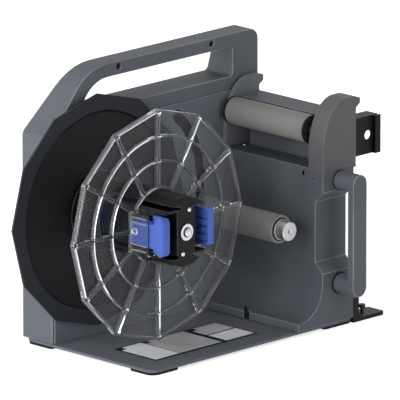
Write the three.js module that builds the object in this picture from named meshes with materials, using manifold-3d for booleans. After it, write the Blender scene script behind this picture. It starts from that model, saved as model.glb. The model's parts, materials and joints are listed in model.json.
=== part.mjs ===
import * as THREE from "three";
import { ConvexGeometry } from "three/addons/geometries/ConvexGeometry.js";
import { mergeVertices } from "three/addons/utils/BufferGeometryUtils.js";
import Module from "manifold-3d";

// Desktop label rewinder, in millimetres, +Z up and +Y to the back.
// Places are measured from the housing's lower left front corner, with Z = 0 at the underside of
// the base plate. The last lines move the whole rewinder to its reference point.

// Fits that all pieces share
const fit_gap = 0.3;
const cut_overrun = 3;
const arc_step_deg = 12;
const round_sides = 32;
const small_sides = 12;
const fine_sides = 48;

// Base plate and its rubber feet
const base_setback = 0.5;
const base_front_setback = 2;
const base_back_setback = 7;
const base_thickness = 3;
const base_front_corner_radius = 10;
const base_corner_radius = 3;
const pad_rise = 1.2;
const pad_slope = 2.5;
const pad_left = 14;
const pad_wall_gap = 5;
const pad_front_margin = 20;
const foot_thickness = 3;
const foot_length = 39;
const foot_depth = 34;
const foot_inset = 0.6;
const foot_corner_radius = 3;

// Instruction plate on the base
const plate_side_margin = 14;
const plate_right_margin = 32;
const plate_width = 61.5;
const plate_front_margin = 3;
const plate_thickness = 0.6;

// Housing with the carry handle
const housing_overhang = 9.2;
const housing_rear_gap = 2.5;
const grip_height = 31.6;
const housing_wall = 3;
const housing_lip = 12;
const handle_rise = 67;
const shoulder_radius = 10;
const slant_deg = 51.7;
const crown_radius = 56;
const housing_corner_radius = 12;
const lean_rise = 3;
const lean_run = 18;
const ledge_rise = 14.5;
const handle_bar = 14.6;
const handle_arm = 17;
const handle_post = 38.2;
const grip_crown_radius = 40;
const grip_corner_radius = 4;
const front_opening_drop = 4.3;
const rear_opening_drop = 36.8;

// Screws in the handle bar
const handle_screw_left = 99;
const handle_screw_right_inset = 69.7;
const handle_screw_drop = 6;
const handle_screw_hole_radius = 3.6;
const handle_screw_head_radius = 3.2;
const handle_screw_head_height = 2.6;
const handle_screw_shank_radius = 1.8;
const handle_screw_shank_length = 10;
const handle_screw_sink = 4.5;

// Front panel
const panel_thickness = 2;
const panel_inset = 2;
const slot_margin = 7.5;
const panel_bore_radius = 9.2;

// Back cover, power inlet and power switch
const cover_thickness = 2;
const cover_margin = 5;
const cover_corner_radius = 6;
const inlet_x = 58;
const inlet_z = 40;
const inlet_width = 27;
const inlet_height = 20;
const inlet_body_depth = 18;
const inlet_flange = 4;
const inlet_flange_thickness = 1.6;
const inlet_wall = 2.4;
const inlet_socket_depth = 13;
const inlet_pin_width = 4;
const inlet_pin_thickness = 2;
const inlet_pin_spacing = 7;
const switch_spacing = 40;
const switch_width = 15;
const switch_height = 21;
const switch_body_depth = 14;
const switch_flange = 2;
const switch_wall = 1.6;
const rocker_gap = 0.7;
const rocker_tilt_deg = 9;
const rocker_crown = 1.6;
const rocker_keel = 3;
const rocker_pin_radius = 1.5;

// Cross wall on the right of the base, with its shelf and upper wall
const web_clearance = 17.7;
const wall_width = 46.5;
const wall_front = -150;
const wall_shell = 3;
const cove_radius = 36;
const cove_foot_height = 11.2;
const shelf_height = 171;
const upper_wall_width = 21;
const upper_wall_overhang = 3.5;
const upper_wall_top_drop = 19.2;
const upper_wall_drop = 4;
const recess_depth = 11.3;
const recess_bottom = 59.2;
const recess_top_drop = 23.9;
const wall_groove_width = 5.7;
const wall_groove_depth = 6;
const wall_groove_top_drop = 13;
const sensor_slot_inset = 29;
const sensor_slot_drop = 7;
const sensor_slot_width = 3;
const sensor_slot_height = 5;
const clip_inset = 77;
const clip_width = 8;
const clip_depth = 4;
const clip_height = 7;
const clip_tongue = 3;
const clip_tongue_rise = 6;
const shelf_screw_margin = 6.5;
const shelf_screw_y = -13;
const shelf_screw_head_radius = 2.6;
const shelf_screw_head_height = 1.6;
const shelf_screw_shank_radius = 1.5;
const shelf_screw_length = 8;

// Roller supports on both sides of the guide roller
const support_curve_width = 36;
const support_straight = 19;
const support_curve_height = 54.2;
const support_nose_reach = 6;
const support_nose_height = 6;
const support_nose_drop = 3.2;
const support_chin_drop = 13.2;
const front_support_thickness = 21.7;
const rear_support_thickness = 5.4;

// Side handle on the front of the cross wall
const side_handle_inset = 21.3;
const side_handle_below = 13.7;
const side_handle_above = 10.4;
const side_handle_radius = 10.25;
const side_handle_reach = 22;
const side_handle_bar = 8;
const side_handle_stub_play = 0.15;

// Brackets that hold the rewinder to a printer
const bracket_sheet = 2.3;
const bracket_length = 61.3;
const bracket_lip = 8.2;
const bracket_step = 4.4;
const bracket_inset = 1;
const bracket_depth = 21;
const bracket_rise = 0.5;
const bracket_height = 41.2;
const bracket_hole_radius = 5.1;
const bracket_hole_from_lip = 6.6;
const foot_bracket_length = 47.5;
const foot_bracket_column = 8.5;
const foot_bracket_height = 24;
const foot_bracket_tongue = 4.3;
const foot_bracket_depth = 24;
const foot_bracket_fillet = 8;
const foot_bracket_tip_radius = 3;
const clamp_screw_reach = 25.5;
const clamp_screw_head_radius = 3.4;
const clamp_screw_head_height = 3;
const clamp_screw_shank_radius = 1.9;
const clamp_screw_stand = 6;

// Spindle, its bearings and their housing
const spindle_x = 56.4;
const flange_clearance = 11.3;
const spindle_radius = 7.5;
const spindle_collar_radius = 12;
const spindle_collar_length = 3;
const bearing_outer_radius = 16;
const bearing_width = 9;
const bearing_housing_radius = 21;
const bearing_housing_length = 28;
const bearing_flange_radius = 30;
const bearing_flange_thickness = 4;
const bearing_shoulder_radius = 12;

// Hub that carries the label core
const core_bore = 76.2;
const core_play = 1.2;
const hub_front = -141;
const hub_collar_rise = 5.5;
const hub_collar_thickness = 5.9;
const hub_nose_radius = 1.8;
const hub_web_half = 13;
const hub_web_thickness = 4.7;
const hub_channel_play = 0.4;
const hub_channel_back = -50;
const hub_groove_wall = 1.6;
const hub_groove_height = 4.6;
const hub_groove_end = 4;
const hub_groove_dip = 1.8;
const hub_bolt_radius = 3;
const hub_bolt_head_radius = 4.4;
const hub_bolt_head_height = 3;
const hub_bolt_length = 16;
const hub_washer_radius = 8.9;
const hub_washer_thickness = 1.5;
const hub_screw_x = 4.6;
const hub_screw_inset = 14.5;
const hub_screw_head_radius = 2.5;
const hub_screw_head_height = 1.5;
const hub_screw_shank_radius = 1.3;
const hub_screw_length = 8;

// Rear flange behind the roll
const flange_sides = 12;
const rear_flange_radius = 125;
const rear_flange_front = -12;
const rear_flange_thickness = 2.6;
const rear_rim_width = 19;
const rear_dish_depth = 2.2;
const rear_dish_slope = 2;

// Clear outer flange with its latch boxes
const clear_flange_inset = 1;
const clear_flange_front = -102;
const clear_rim_depth = 6.6;
const clear_disc_thickness = 2.4;
const clear_rim_width = 2.4;
const clear_rib_width = 4.6;
const clear_ring_shares = [0.346, 0.661];
const clear_bore_play = 0.9;
const clear_collar_width = 2.2;
const latch_box_reach = 24;
const latch_box_wall = 2;
const latch_box_clearance = 6;

// Blue pinch tabs in the latch boxes
const tab_stand_out = 1;
const tab_thickness = 10.5;
const tab_half_height = 20.2;
const tab_reach = 4.3;
const tab_corner_radius = 6;
const tab_chamfer = 2.4;
const tab_play = 0.8;
const tab_rib_count = 5;
const tab_rib_depth = 1.2;
const tab_rib_width = 1.4;
const tab_groove_length = 18;
const tab_pocket_radius = 4.4;
const tab_pocket_depth = 7;
const tab_spring_radius = 3.8;
const tab_spring_bore = 2.8;
const tab_spring_back = 12;

// Belt drive
const belt_width = 6;
const belt_thickness = 1.5;
const pulley_width = 9;
const pulley_rim = 1;
const pulley_rim_height = 2;
const driven_pulley_radius = 30;
const drive_pulley_radius = 10;
const pulley_stand_off = 1.5;
const motor_offset = 75.6;
const motor_z = 50;
const motor_radius = 26;
const motor_length = 24.7;
const motor_shaft_radius = 4;
const motor_shaft_grip = 8;
const motor_mount_half = 30;
const motor_mount_thickness = 3;

// Dancer arm and its roller
const flange_gap = 16.5;
const pivot_rise = 1.2;
const arm_length = 97.8;
const arm_rest_deg = -18.4;
const arm_travel_deg = 68;
const arm_thickness = 5;
const arm_pivot_radius = 14;
const arm_end_radius = 11;
const arm_stand_off = 5;
const pivot_radius = 6;
const pivot_base_radius = 13;
const pivot_clip_radius = 9;
const pivot_clip_thickness = 1.2;
const slot_half_width = 6.6;
const axle_radius = 10.3;
const axle_stand_out = 13.7;
const axle_shoulder_gap = 2.2;
const axle_chamfer = 0.8;
const axle_center_radius = 1.6;
const axle_neck_radius = 5.7;
const axle_tail_radius = 4;
const axle_nut_radius = 7;
const axle_nut_height = 3.5;
const nut_sides = 6;
const dancer_roller_radius = 15.2;
const dancer_roller_front = -125.3;
const dancer_roller_gap = 5.7;
const bush_radius = 12.3;
const bush_length = 8;
const ring_radius = 11.9;
const ring_thickness = 1;
const stop_radius = 5;
const stop_along = 62;
const stop_length = 12;

// Guide roller
const guide_inset = 9;
const guide_height = 39.5;
const guide_radius = 15;
const guide_bore_radius = 12.3;
const guide_front_gap = 4.3;
const guide_back_gap = 3.5;
const guide_axle_radius = 4;
const guide_axle_seat = 8;
const guide_axle_rear_seat = 4;
const guide_cap_thickness = 2;
const guide_cap_spigot = 6;
const guide_cap_recess_radius = 9;
const guide_cap_recess_depth = 4;
const guide_cap_overhang = 0.5;

// Circuit board
const board_margin = 18.7;
const board_bottom = 20;
const board_length = 85;
const board_height = 62;
const board_thickness = 1.6;
const board_stand_off = 14;
const board_tray_thickness = 2;
const board_post_radius = 3;
const board_post_margin = 5;
const board_chip_height = 4;
const board_plug_height = 9;
const board_chip_shares = [[0.15, 0.15, 0.2, 0.3], [0.45, 0.2, 0.16, 0.22]];
const board_plug_shares = [[0.2, 0.62, 0.3, 0.2], [0.68, 0.5, 0.18, 0.34]];

// Heights and places along X that follow from the roll, the dancer and their clearances
const radians = THREE.MathUtils.degToRad;
const raised_top = base_thickness + pad_rise;
const housing_bottom = base_thickness + fit_gap;
const spindle_z = raised_top + flange_clearance + rear_flange_radius;
const arm_rest_reach = arm_length * Math.cos(radians(arm_rest_deg));
const pivot_x = spindle_x + rear_flange_radius + flange_gap + dancer_roller_radius - arm_rest_reach;
const pivot_z = spindle_z + pivot_rise;
const arm_top_rise = arm_length * Math.sin(radians(arm_rest_deg + arm_travel_deg));
const panel_seam_height = pivot_z + arm_top_rise + slot_half_width + slot_margin;
const ledge_height = panel_seam_height + ledge_rise;
const housing_height = ledge_height + grip_height + handle_bar;
const shoulder_height = housing_height - handle_rise;
const lean_start_height = shoulder_height + lean_rise;
const front_opening_height = panel_seam_height - front_opening_drop;
const rear_opening_height = ledge_height - rear_opening_drop;
const wall_face = pivot_x + arm_length + dancer_roller_radius + web_clearance;
const wall_right = wall_face + wall_width;
const base_length = wall_right - base_setback;
const housing_width = wall_right + housing_overhang;
const upper_wall_right = wall_right + upper_wall_overhang;
const upper_wall_face = upper_wall_right - upper_wall_width;
const pad_right = wall_face - cove_radius - pad_wall_gap;
const plate_left = pad_left + plate_side_margin;
const plate_length = pad_right - plate_right_margin - plate_left;
const motor_x = spindle_x + motor_offset;
const switch_x = inlet_x + switch_spacing;

// Housing, panel and the drive behind it
const bearing_front = 0;
const pulley_front = bearing_front + bearing_housing_length + pulley_stand_off;
const pulley_back = pulley_front + pulley_width;
const housing_depth = pulley_back + housing_wall + housing_rear_gap;
const lean_top_depth = housing_depth - lean_run;
const panel_back = -fit_gap;
const panel_front = panel_back - panel_thickness;
const cover_front = housing_depth + fit_gap;
const cover_back = cover_front + cover_thickness;
const inlet_back = cover_back + fit_gap + inlet_flange_thickness;
const handle_screw_z = housing_height - handle_screw_drop;
const handle_screw_right = housing_width - handle_screw_right_inset;
const base_front = wall_front + base_front_setback;
const base_back = housing_depth - base_back_setback;
const board_left = housing_width - housing_wall - board_margin - board_length;

// Cross wall, roller supports, side handle and brackets
const wall_back = panel_front - fit_gap;
const recess_top = shelf_height - recess_top_drop;
const sensor_slot_y = wall_front + sensor_slot_inset;
const sensor_slot_z = shelf_height - sensor_slot_drop;
const clip_y = wall_front + clip_inset;
const shelf_screw_x = upper_wall_face - shelf_screw_margin;
const support_foot = shelf_height + fit_gap;
const support_curve_center = wall_face + support_curve_width;
const support_curve_start = shelf_height + support_straight;
const support_top = support_curve_start + support_curve_height;
const support_nose = upper_wall_right + support_nose_reach;
const support_chin_height = support_top - support_chin_drop;
const upper_wall_height = support_top - upper_wall_top_drop;
const wall_groove_height = upper_wall_height - wall_groove_top_drop;
const side_handle_x = wall_right - side_handle_inset;
const side_handle_low = recess_bottom - side_handle_below;
const side_handle_high = recess_top + side_handle_above;
const side_handle_front = wall_front - side_handle_reach - side_handle_bar;
const side_handle_stub_radius = side_handle_radius - side_handle_stub_play;
const bracket_end = upper_wall_right + bracket_length;
const bracket_front = wall_front + front_support_thickness + fit_gap + bracket_inset;
const bracket_low = shelf_height - upper_wall_drop + bracket_rise;
const bracket_high = bracket_low + bracket_height;
const foot_bracket_end = wall_right + foot_bracket_length;
const clamp_screw_x = wall_right + clamp_screw_reach;

// Hub, flanges and tabs
const hub_radius = (core_bore - core_play) / 2;
const hub_collar_radius = hub_radius + hub_collar_rise;
const dish_face = rear_flange_front + rear_dish_depth;
const hub_back = dish_face - fit_gap;
const rear_flange_back = dish_face + rear_flange_thickness;
const rear_dish_radius = rear_flange_radius - rear_rim_width;
const clear_flange_radius = rear_flange_radius - clear_flange_inset;
const clear_bore = hub_radius + clear_bore_play;
const clear_ring_room = clear_flange_radius - clear_bore;
const clear_ring_middles = clear_ring_shares.map((share) => clear_bore + share * clear_ring_room);
const latch_half = tab_half_height + tab_play;
const latch_box_front = clear_flange_front - latch_box_reach;
const latch_box_inner = hub_web_half + latch_box_clearance;
const hub_channel_half = latch_half + latch_box_wall + hub_channel_play;
const hub_groove_low = hub_channel_half + hub_groove_wall;
const hub_groove_high = hub_groove_low + hub_groove_height;
const hub_screw_z = hub_radius - hub_screw_inset;
const tab_outer = hub_radius + tab_stand_out;
const tab_front = hub_front - tab_reach;

// Rollers
const axle_front = dancer_roller_front - axle_stand_out;
const axle_back = panel_front - axle_shoulder_gap;
const dancer_roller_back = panel_front - dancer_roller_gap;
const guide_x = wall_face + guide_inset;
const guide_z = shelf_height + guide_height;
const guide_front = wall_front + front_support_thickness + guide_front_gap;
const guide_back = wall_back - rear_support_thickness - guide_back_gap;

const wasm = await Module();
wasm.setup();

// Materials
const painted = new THREE.MeshStandardMaterial({ color: 0x4a4e56, roughness: 0.55, metalness: 0.1 });
const moulded = new THREE.MeshStandardMaterial({ color: 0x5a5960, roughness: 0.6, metalness: 0.0 });
const black = new THREE.MeshStandardMaterial({ color: 0x222224, roughness: 0.5, metalness: 0.0 });
const bracket_black = new THREE.MeshStandardMaterial({ color: 0x2c2c2c, roughness: 0.6, metalness: 0.3 });
const clear = new THREE.MeshStandardMaterial({
  color: 0xb9bcc2, roughness: 0.1, metalness: 0.0, transparent: true, opacity: 0.35,
});
const blue = new THREE.MeshStandardMaterial({ color: 0x3558c4, roughness: 0.4, metalness: 0.0 });
const steel = new THREE.MeshStandardMaterial({ color: 0xc9cacc, roughness: 0.25, metalness: 0.9 });
const roller_grey = new THREE.MeshStandardMaterial({ color: 0x7c7c7a, roughness: 0.6, metalness: 0.0 });
const rubber = new THREE.MeshStandardMaterial({ color: 0x141414, roughness: 0.9, metalness: 0.0 });
const printed = new THREE.MeshStandardMaterial({ color: 0xc8c9cb, roughness: 0.6, metalness: 0.0 });
const board_green = new THREE.MeshStandardMaterial({ color: 0x1f5a38, roughness: 0.6, metalness: 0.1 });

// Outlines: lists of points in the plane of a section
function point(x, y) {
  return new THREE.Vector2(x, y);
}

function sorted(a, b) {
  return a < b ? [a, b] : [b, a];
}

function arcPoints(center_x, center_y, radius, from, to) {
  const steps = Math.max(2, Math.ceil(Math.abs(to - from) / radians(arc_step_deg)));
  const points = [];
  for (let i = 0; i <= steps; i += 1) {
    const angle = from + ((to - from) * i) / steps;
    points.push(point(center_x + radius * Math.cos(angle), center_y + radius * Math.sin(angle)));
  }
  return points;
}

function circlePoints(center_x, center_y, radius, sides) {
  const points = [];
  for (let i = 0; i < sides; i += 1) {
    const angle = (2 * Math.PI * i) / sides;
    points.push(point(center_x + radius * Math.cos(angle), center_y + radius * Math.sin(angle)));
  }
  return points;
}

// Corners are [x, y] or [x, y, radius]; a corner with a radius becomes an arc
function roundedPoints(corners) {
  const points = [];
  corners.forEach(([x, y, radius = 0], index) => {
    if (radius <= 0) {
      points.push(point(x, y));
      return;
    }
    const [before_x, before_y] = corners.at(index - 1);
    const [after_x, after_y] = corners[(index + 1) % corners.length];
    const corner = point(x, y);
    const to_before = point(before_x, before_y).sub(corner).normalize();
    const to_after = point(after_x, after_y).sub(corner).normalize();
    const half_angle = Math.acos(THREE.MathUtils.clamp(to_before.dot(to_after), -1, 1)) / 2;
    const start = corner.clone().addScaledVector(to_before, radius / Math.tan(half_angle));
    const end = corner.clone().addScaledVector(to_after, radius / Math.tan(half_angle));
    const middle = to_before.clone().add(to_after).normalize();
    const center = corner.clone().addScaledVector(middle, radius / Math.sin(half_angle));
    const from = Math.atan2(start.y - center.y, start.x - center.x);
    let to = Math.atan2(end.y - center.y, end.x - center.x);
    if (to - from > Math.PI) to -= 2 * Math.PI;
    if (from - to > Math.PI) to += 2 * Math.PI;
    points.push(...arcPoints(center.x, center.y, radius, from, to));
  });
  return points;
}

function rectangle(x0, x1, y0, y1, radius = 0) {
  return roundedPoints([[x0, y0, radius], [x1, y0, radius], [x1, y1, radius], [x0, y1, radius]]);
}

function stadium(x0, y0, radius0, x1, y1, radius1) {
  const along = Math.atan2(y1 - y0, x1 - x0);
  const length = Math.hypot(x1 - x0, y1 - y0);
  const tangent = Math.acos((radius0 - radius1) / length);
  return [
    ...arcPoints(x0, y0, radius0, along + tangent, along + 2 * Math.PI - tangent),
    ...arcPoints(x1, y1, radius1, along - tangent, along + tangent),
  ];
}

// Solids
function outward(geometry) {
  const indexed = geometry.clone();
  indexed.deleteAttribute("normal");
  indexed.deleteAttribute("uv");
  const merged = mergeVertices(indexed);
  const position = merged.attributes.position;
  const index = merged.index;
  const corners = [new THREE.Vector3(), new THREE.Vector3(), new THREE.Vector3()];
  let volume = 0;
  for (let i = 0; i < index.count; i += 3) {
    corners.forEach((corner, k) => corner.fromBufferAttribute(position, index.getX(i + k)));
    volume += corners[0].dot(corners[1].clone().cross(corners[2]));
  }
  if (volume < 0) {
    for (let i = 0; i < index.count; i += 3) {
      const first = index.getX(i);
      index.setX(i, index.getX(i + 1));
      index.setX(i + 1, first);
    }
  }
  return merged;
}

function toManifold(body) {
  if (body instanceof wasm.Manifold) return body;
  const closed = outward(body);
  return new wasm.Manifold(new wasm.Mesh({
    numProp: 3,
    vertProperties: new Float32Array(closed.attributes.position.array),
    triVerts: new Uint32Array(closed.index.array),
  }));
}

function toGeometry(manifold) {
  const mesh = manifold.getMesh();
  const geometry = new THREE.BufferGeometry();
  geometry.setAttribute("position", new THREE.BufferAttribute(mesh.vertProperties, mesh.numProp));
  geometry.setIndex(new THREE.BufferAttribute(mesh.triVerts, 1));
  return geometry;
}

function cut(body, ...tools) {
  return tools.reduce((left, tool) => left.subtract(toManifold(tool)), toManifold(body));
}

function join(first, ...others) {
  return others.reduce((sum, other) => sum.add(toManifold(other)), toManifold(first));
}

function overlap(first, second) {
  return toManifold(first).intersect(toManifold(second));
}

function box(x0, x1, y0, y1, z0, z1) {
  const geometry = new THREE.BoxGeometry(x1 - x0, y1 - y0, z1 - z0);
  return geometry.translate((x0 + x1) / 2, (y0 + y1) / 2, (z0 + z1) / 2);
}

function wound(points, clockwise) {
  return THREE.ShapeUtils.isClockWise(points) === clockwise ? points : points.toReversed();
}

function extrude(points, length, holes) {
  const shape = new THREE.Shape(wound(points, false));
  holes.forEach((hole) => shape.holes.push(new THREE.Path(wound(hole, true))));
  return new THREE.ExtrudeGeometry(shape, { depth: length, bevelEnabled: false });
}

// Outline in X and Z, swept along Y
function prismY(points, y0, y1, holes = []) {
  return extrude(points, y1 - y0, holes).rotateX(Math.PI / 2).translate(0, y1, 0);
}

// Outline in Y and Z, swept along X
function prismX(points, x0, x1) {
  return extrude(points, x1 - x0, []).rotateX(Math.PI / 2).rotateZ(Math.PI / 2).translate(x0, 0, 0);
}

// Outline in X and Y, swept along Z
function prismZ(points, z0, z1) {
  return extrude(points, z1 - z0, []).translate(0, 0, z0);
}

function rodY(x, z, radius, y0, y1, sides = round_sides) {
  const geometry = new THREE.CylinderGeometry(radius, radius, y1 - y0, sides);
  return geometry.translate(x, (y0 + y1) / 2, z);
}

function rodX(y, z, radius, x0, x1, sides = small_sides) {
  const geometry = new THREE.CylinderGeometry(radius, radius, x1 - x0, sides);
  return geometry.rotateZ(Math.PI / 2).translate((x0 + x1) / 2, y, z);
}

function rodZ(x, y, radius, z0, z1, sides = small_sides) {
  const geometry = new THREE.CylinderGeometry(radius, radius, z1 - z0, sides);
  return geometry.rotateX(Math.PI / 2).translate(x, y, (z0 + z1) / 2);
}

// Profile points are (radius, Y), turned about an axis along Y
function turned(profile, x, z, sides = round_sides) {
  const points = profile.map(([radius, y]) => point(radius, y));
  const closed = points[0].x === 0 ? points : [...points, points[0].clone()];
  return new THREE.LatheGeometry(closed, sides).translate(x, 0, z);
}

function ringY(x, z, inner, outer, y0, y1, sides = round_sides) {
  return turned([[inner, y0], [outer, y0], [outer, y1], [inner, y1]], x, z, sides);
}

// Housing: sizes of the slanted left side
const slant = radians(slant_deg);

function slantX(height, inset) {
  return (height - shoulder_height + inset / Math.cos(slant)) / Math.tan(slant);
}

function slantStartHeight(inset) {
  return shoulder_height + inset * Math.tan(slant) - inset / Math.cos(slant);
}

// The wedge behind the leaning back, moved forward by an inset
function leanWedge(inset) {
  const back = housing_depth + cut_overrun;
  const top = housing_height + cut_overrun;
  const outline = [
    point(housing_depth - inset, lean_start_height),
    point(lean_top_depth - inset, housing_height),
    point(lean_top_depth - inset, top),
    point(back, top),
    point(back, lean_start_height),
  ];
  return prismX(outline, -cut_overrun, housing_width + cut_overrun);
}

function mainHousing() {
  const outline = roundedPoints([
    [0, housing_bottom],
    [0, shoulder_height, shoulder_radius],
    [slantX(housing_height, 0), housing_height, crown_radius],
    [housing_width, housing_height, housing_corner_radius],
    [housing_width, housing_bottom],
  ]);
  const grip_right = housing_width - handle_post;
  const grip_top = housing_height - handle_bar;
  const grip = roundedPoints([
    [slantX(ledge_height, handle_arm), ledge_height, grip_corner_radius],
    [slantX(grip_top, handle_arm), grip_top, grip_crown_radius],
    [grip_right, grip_top, grip_corner_radius],
    [grip_right, ledge_height, grip_corner_radius],
  ]);
  const cavity_top = ledge_height - housing_wall;
  const cavity = [
    point(housing_wall, housing_bottom + housing_wall),
    point(housing_wall, slantStartHeight(housing_wall)),
    point(slantX(cavity_top, housing_wall), cavity_top),
    point(housing_width - housing_wall, cavity_top),
    point(housing_width - housing_wall, housing_bottom + housing_wall),
  ];
  const right = housing_width - housing_lip;
  const low = housing_bottom + housing_lip;
  const front_mouth = rectangle(housing_lip, right, low, front_opening_height);
  const rear_mouth = rectangle(housing_lip, right, low, rear_opening_height);
  const room = cut(prismY(cavity, housing_wall, housing_depth - housing_wall), leanWedge(housing_wall));
  const screw_end = handle_screw_sink + handle_screw_head_height + handle_screw_shank_length;
  const screw_tools = [handle_screw_left, handle_screw_right].flatMap((x) => [
    rodY(x, handle_screw_z, handle_screw_hole_radius, -cut_overrun,
      handle_screw_sink + handle_screw_head_height + fit_gap, small_sides),
    rodY(x, handle_screw_z, handle_screw_shank_radius + fit_gap, 0, screw_end + fit_gap, small_sides),
  ]);
  return cut(
    prismY(outline, 0, housing_depth, [grip]),
    leanWedge(0),
    room,
    prismY(front_mouth, -cut_overrun, housing_wall + cut_overrun),
    prismY(rear_mouth, housing_depth - housing_wall - cut_overrun, housing_depth + cut_overrun),
    ...screw_tools,
  );
}

function handleScrew(x) {
  const head_back = handle_screw_sink + handle_screw_head_height;
  return turned([
    [0, handle_screw_sink],
    [handle_screw_head_radius, handle_screw_sink],
    [handle_screw_head_radius, head_back],
    [handle_screw_shank_radius, head_back],
    [handle_screw_shank_radius, head_back + handle_screw_shank_length],
    [0, head_back + handle_screw_shank_length],
  ], x, handle_screw_z, small_sides);
}

// The slot that the dancer axle moves in, round the arm's pivot
function armPlace(angle_deg, radius = arm_length) {
  const angle = radians(angle_deg);
  return [pivot_x + radius * Math.cos(angle), pivot_z + radius * Math.sin(angle)];
}

function arcSlot() {
  const low = radians(arm_rest_deg);
  const high = radians(arm_rest_deg + arm_travel_deg);
  const [low_x, low_z] = armPlace(arm_rest_deg);
  const [high_x, high_z] = armPlace(arm_rest_deg + arm_travel_deg);
  return [
    ...arcPoints(pivot_x, pivot_z, arm_length + slot_half_width, low, high),
    ...arcPoints(high_x, high_z, slot_half_width, high, high + Math.PI).slice(1, -1),
    ...arcPoints(pivot_x, pivot_z, arm_length - slot_half_width, high, low),
    ...arcPoints(low_x, low_z, slot_half_width, low - Math.PI, low).slice(1, -1),
  ];
}

function frontPanel() {
  const outline = [
    point(panel_inset, housing_bottom),
    point(panel_inset, slantStartHeight(panel_inset)),
    point(slantX(panel_seam_height, panel_inset), panel_seam_height),
    point(housing_width - panel_inset, panel_seam_height),
    point(housing_width - panel_inset, housing_bottom),
  ];
  const bore = circlePoints(spindle_x, spindle_z, panel_bore_radius, round_sides);
  return prismY(outline, panel_front, panel_back, [bore, arcSlot()]);
}

// Outlines of the switch and the inlet, larger by an amount on each side
function switchOutline(grow) {
  const [half_width, half_height] = [switch_width / 2 + grow, switch_height / 2 + grow];
  return rectangle(
    switch_x - half_width, switch_x + half_width, inlet_z - half_height, inlet_z + half_height);
}

function inletOutline(grow) {
  const [half_width, half_height] = [inlet_width / 2 + grow, inlet_height / 2 + grow];
  return rectangle(
    inlet_x - half_width, inlet_x + half_width, inlet_z - half_height, inlet_z + half_height);
}

function backCover() {
  const outline = rectangle(
    housing_lip - cover_margin - fit_gap * 2, housing_width - housing_lip + cover_margin + fit_gap * 2,
    housing_bottom + housing_lip - cover_margin - fit_gap * 2,
    rear_opening_height + cover_margin + fit_gap * 2, cover_corner_radius);
  return prismY(outline, cover_front, cover_back, [switchOutline(fit_gap), inletOutline(fit_gap)]);
}

function basePlate() {
  const outline = roundedPoints([
    [0, base_front, base_front_corner_radius],
    [base_length, base_front, base_corner_radius],
    [base_length, base_back, base_corner_radius],
    [0, base_back, base_corner_radius],
  ]);
  const pad_front = base_front + pad_front_margin;
  const pad_back = panel_front - pad_slope;
  const foot = [[pad_left, pad_front], [pad_right, pad_front], [pad_right, pad_back], [pad_left, pad_back]];
  const top = [
    [pad_left + pad_slope, pad_front + pad_slope], [pad_right - pad_slope, pad_front + pad_slope],
    [pad_right - pad_slope, pad_back - pad_slope], [pad_left + pad_slope, pad_back - pad_slope],
  ];
  const raised = new ConvexGeometry([
    ...foot.map(([x, y]) => new THREE.Vector3(x, y, base_thickness / 2)),
    ...foot.map(([x, y]) => new THREE.Vector3(x, y, base_thickness)),
    ...top.map(([x, y]) => new THREE.Vector3(x, y, raised_top)),
  ]);
  return join(prismZ(outline, 0, base_thickness), raised);
}

function foot(x0, y0, front_left_radius) {
  const outline = roundedPoints([
    [x0, y0, front_left_radius],
    [x0 + foot_length, y0, foot_corner_radius],
    [x0 + foot_length, y0 + foot_depth, foot_corner_radius],
    [x0, y0 + foot_depth, foot_corner_radius],
  ]);
  return prismZ(outline, -foot_thickness, -fit_gap);
}

function instructionPlate() {
  const front = base_front + pad_front_margin + plate_front_margin;
  return box(
    plate_left, plate_left + plate_length, front, front + plate_width,
    raised_top + fit_gap, raised_top + fit_gap + plate_thickness);
}

function powerInlet() {
  const body_front = cover_back - inlet_body_depth;
  const body = prismY(inletOutline(0), body_front, cover_back + fit_gap * 2);
  const flange = prismY(inletOutline(inlet_flange), cover_back + fit_gap, inlet_back);
  const socket_front = inlet_back - inlet_socket_depth;
  const socket = prismY(inletOutline(-inlet_wall), socket_front, inlet_back + cut_overrun);
  const pins = [-inlet_pin_spacing, 0, inlet_pin_spacing].map((offset) => box(
    inlet_x + offset - inlet_pin_thickness / 2, inlet_x + offset + inlet_pin_thickness / 2,
    body_front + inlet_wall / 2, inlet_back - inlet_wall,
    inlet_z - inlet_pin_width / 2, inlet_z + inlet_pin_width / 2));
  return join(cut(join(body, flange), socket), ...pins);
}

function switchFrame() {
  const body = prismY(switchOutline(0), cover_back - switch_body_depth, cover_back + fit_gap * 2);
  const flange = prismY(switchOutline(switch_flange), cover_back + fit_gap, inlet_back);
  const well = prismY(switchOutline(-switch_wall), cover_back - switch_body_depth + switch_wall,
    inlet_back + cut_overrun);
  return cut(join(body, flange), well);
}

// The rocker turns about a pin along X; its crown is two flats that meet over the pin
const rocker_tilt = radians(rocker_tilt_deg);
const rocker_pivot_y = cover_back - switch_body_depth / 2;
const rocker_reach = inlet_back - rocker_pivot_y;
const rocker_room = switch_height / 2 - switch_wall - rocker_gap;
const rocker_half = (rocker_room - rocker_reach * Math.sin(rocker_tilt)) / Math.cos(rocker_tilt);
const rocker_crest = rocker_reach * Math.cos(rocker_tilt) + rocker_half * Math.sin(rocker_tilt);
const rocker_back = rocker_pivot_y + rocker_crest;

function powerRocker() {
  const outline = [
    point(-rocker_keel, -rocker_half),
    point(rocker_reach, -rocker_half),
    point(rocker_reach - rocker_crown, 0),
    point(rocker_reach, rocker_half),
    point(-rocker_keel, rocker_half),
  ];
  const half_width = switch_width / 2 - switch_wall - rocker_gap;
  const pin_reach = switch_width / 2 - switch_wall - fit_gap;
  const body = prismX(outline, -half_width, half_width).rotateX(rocker_tilt);
  const pin = rodX(0, 0, rocker_pin_radius, -pin_reach, pin_reach);
  return join(body, pin).translate(switch_x, rocker_pivot_y, inlet_z);
}

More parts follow.
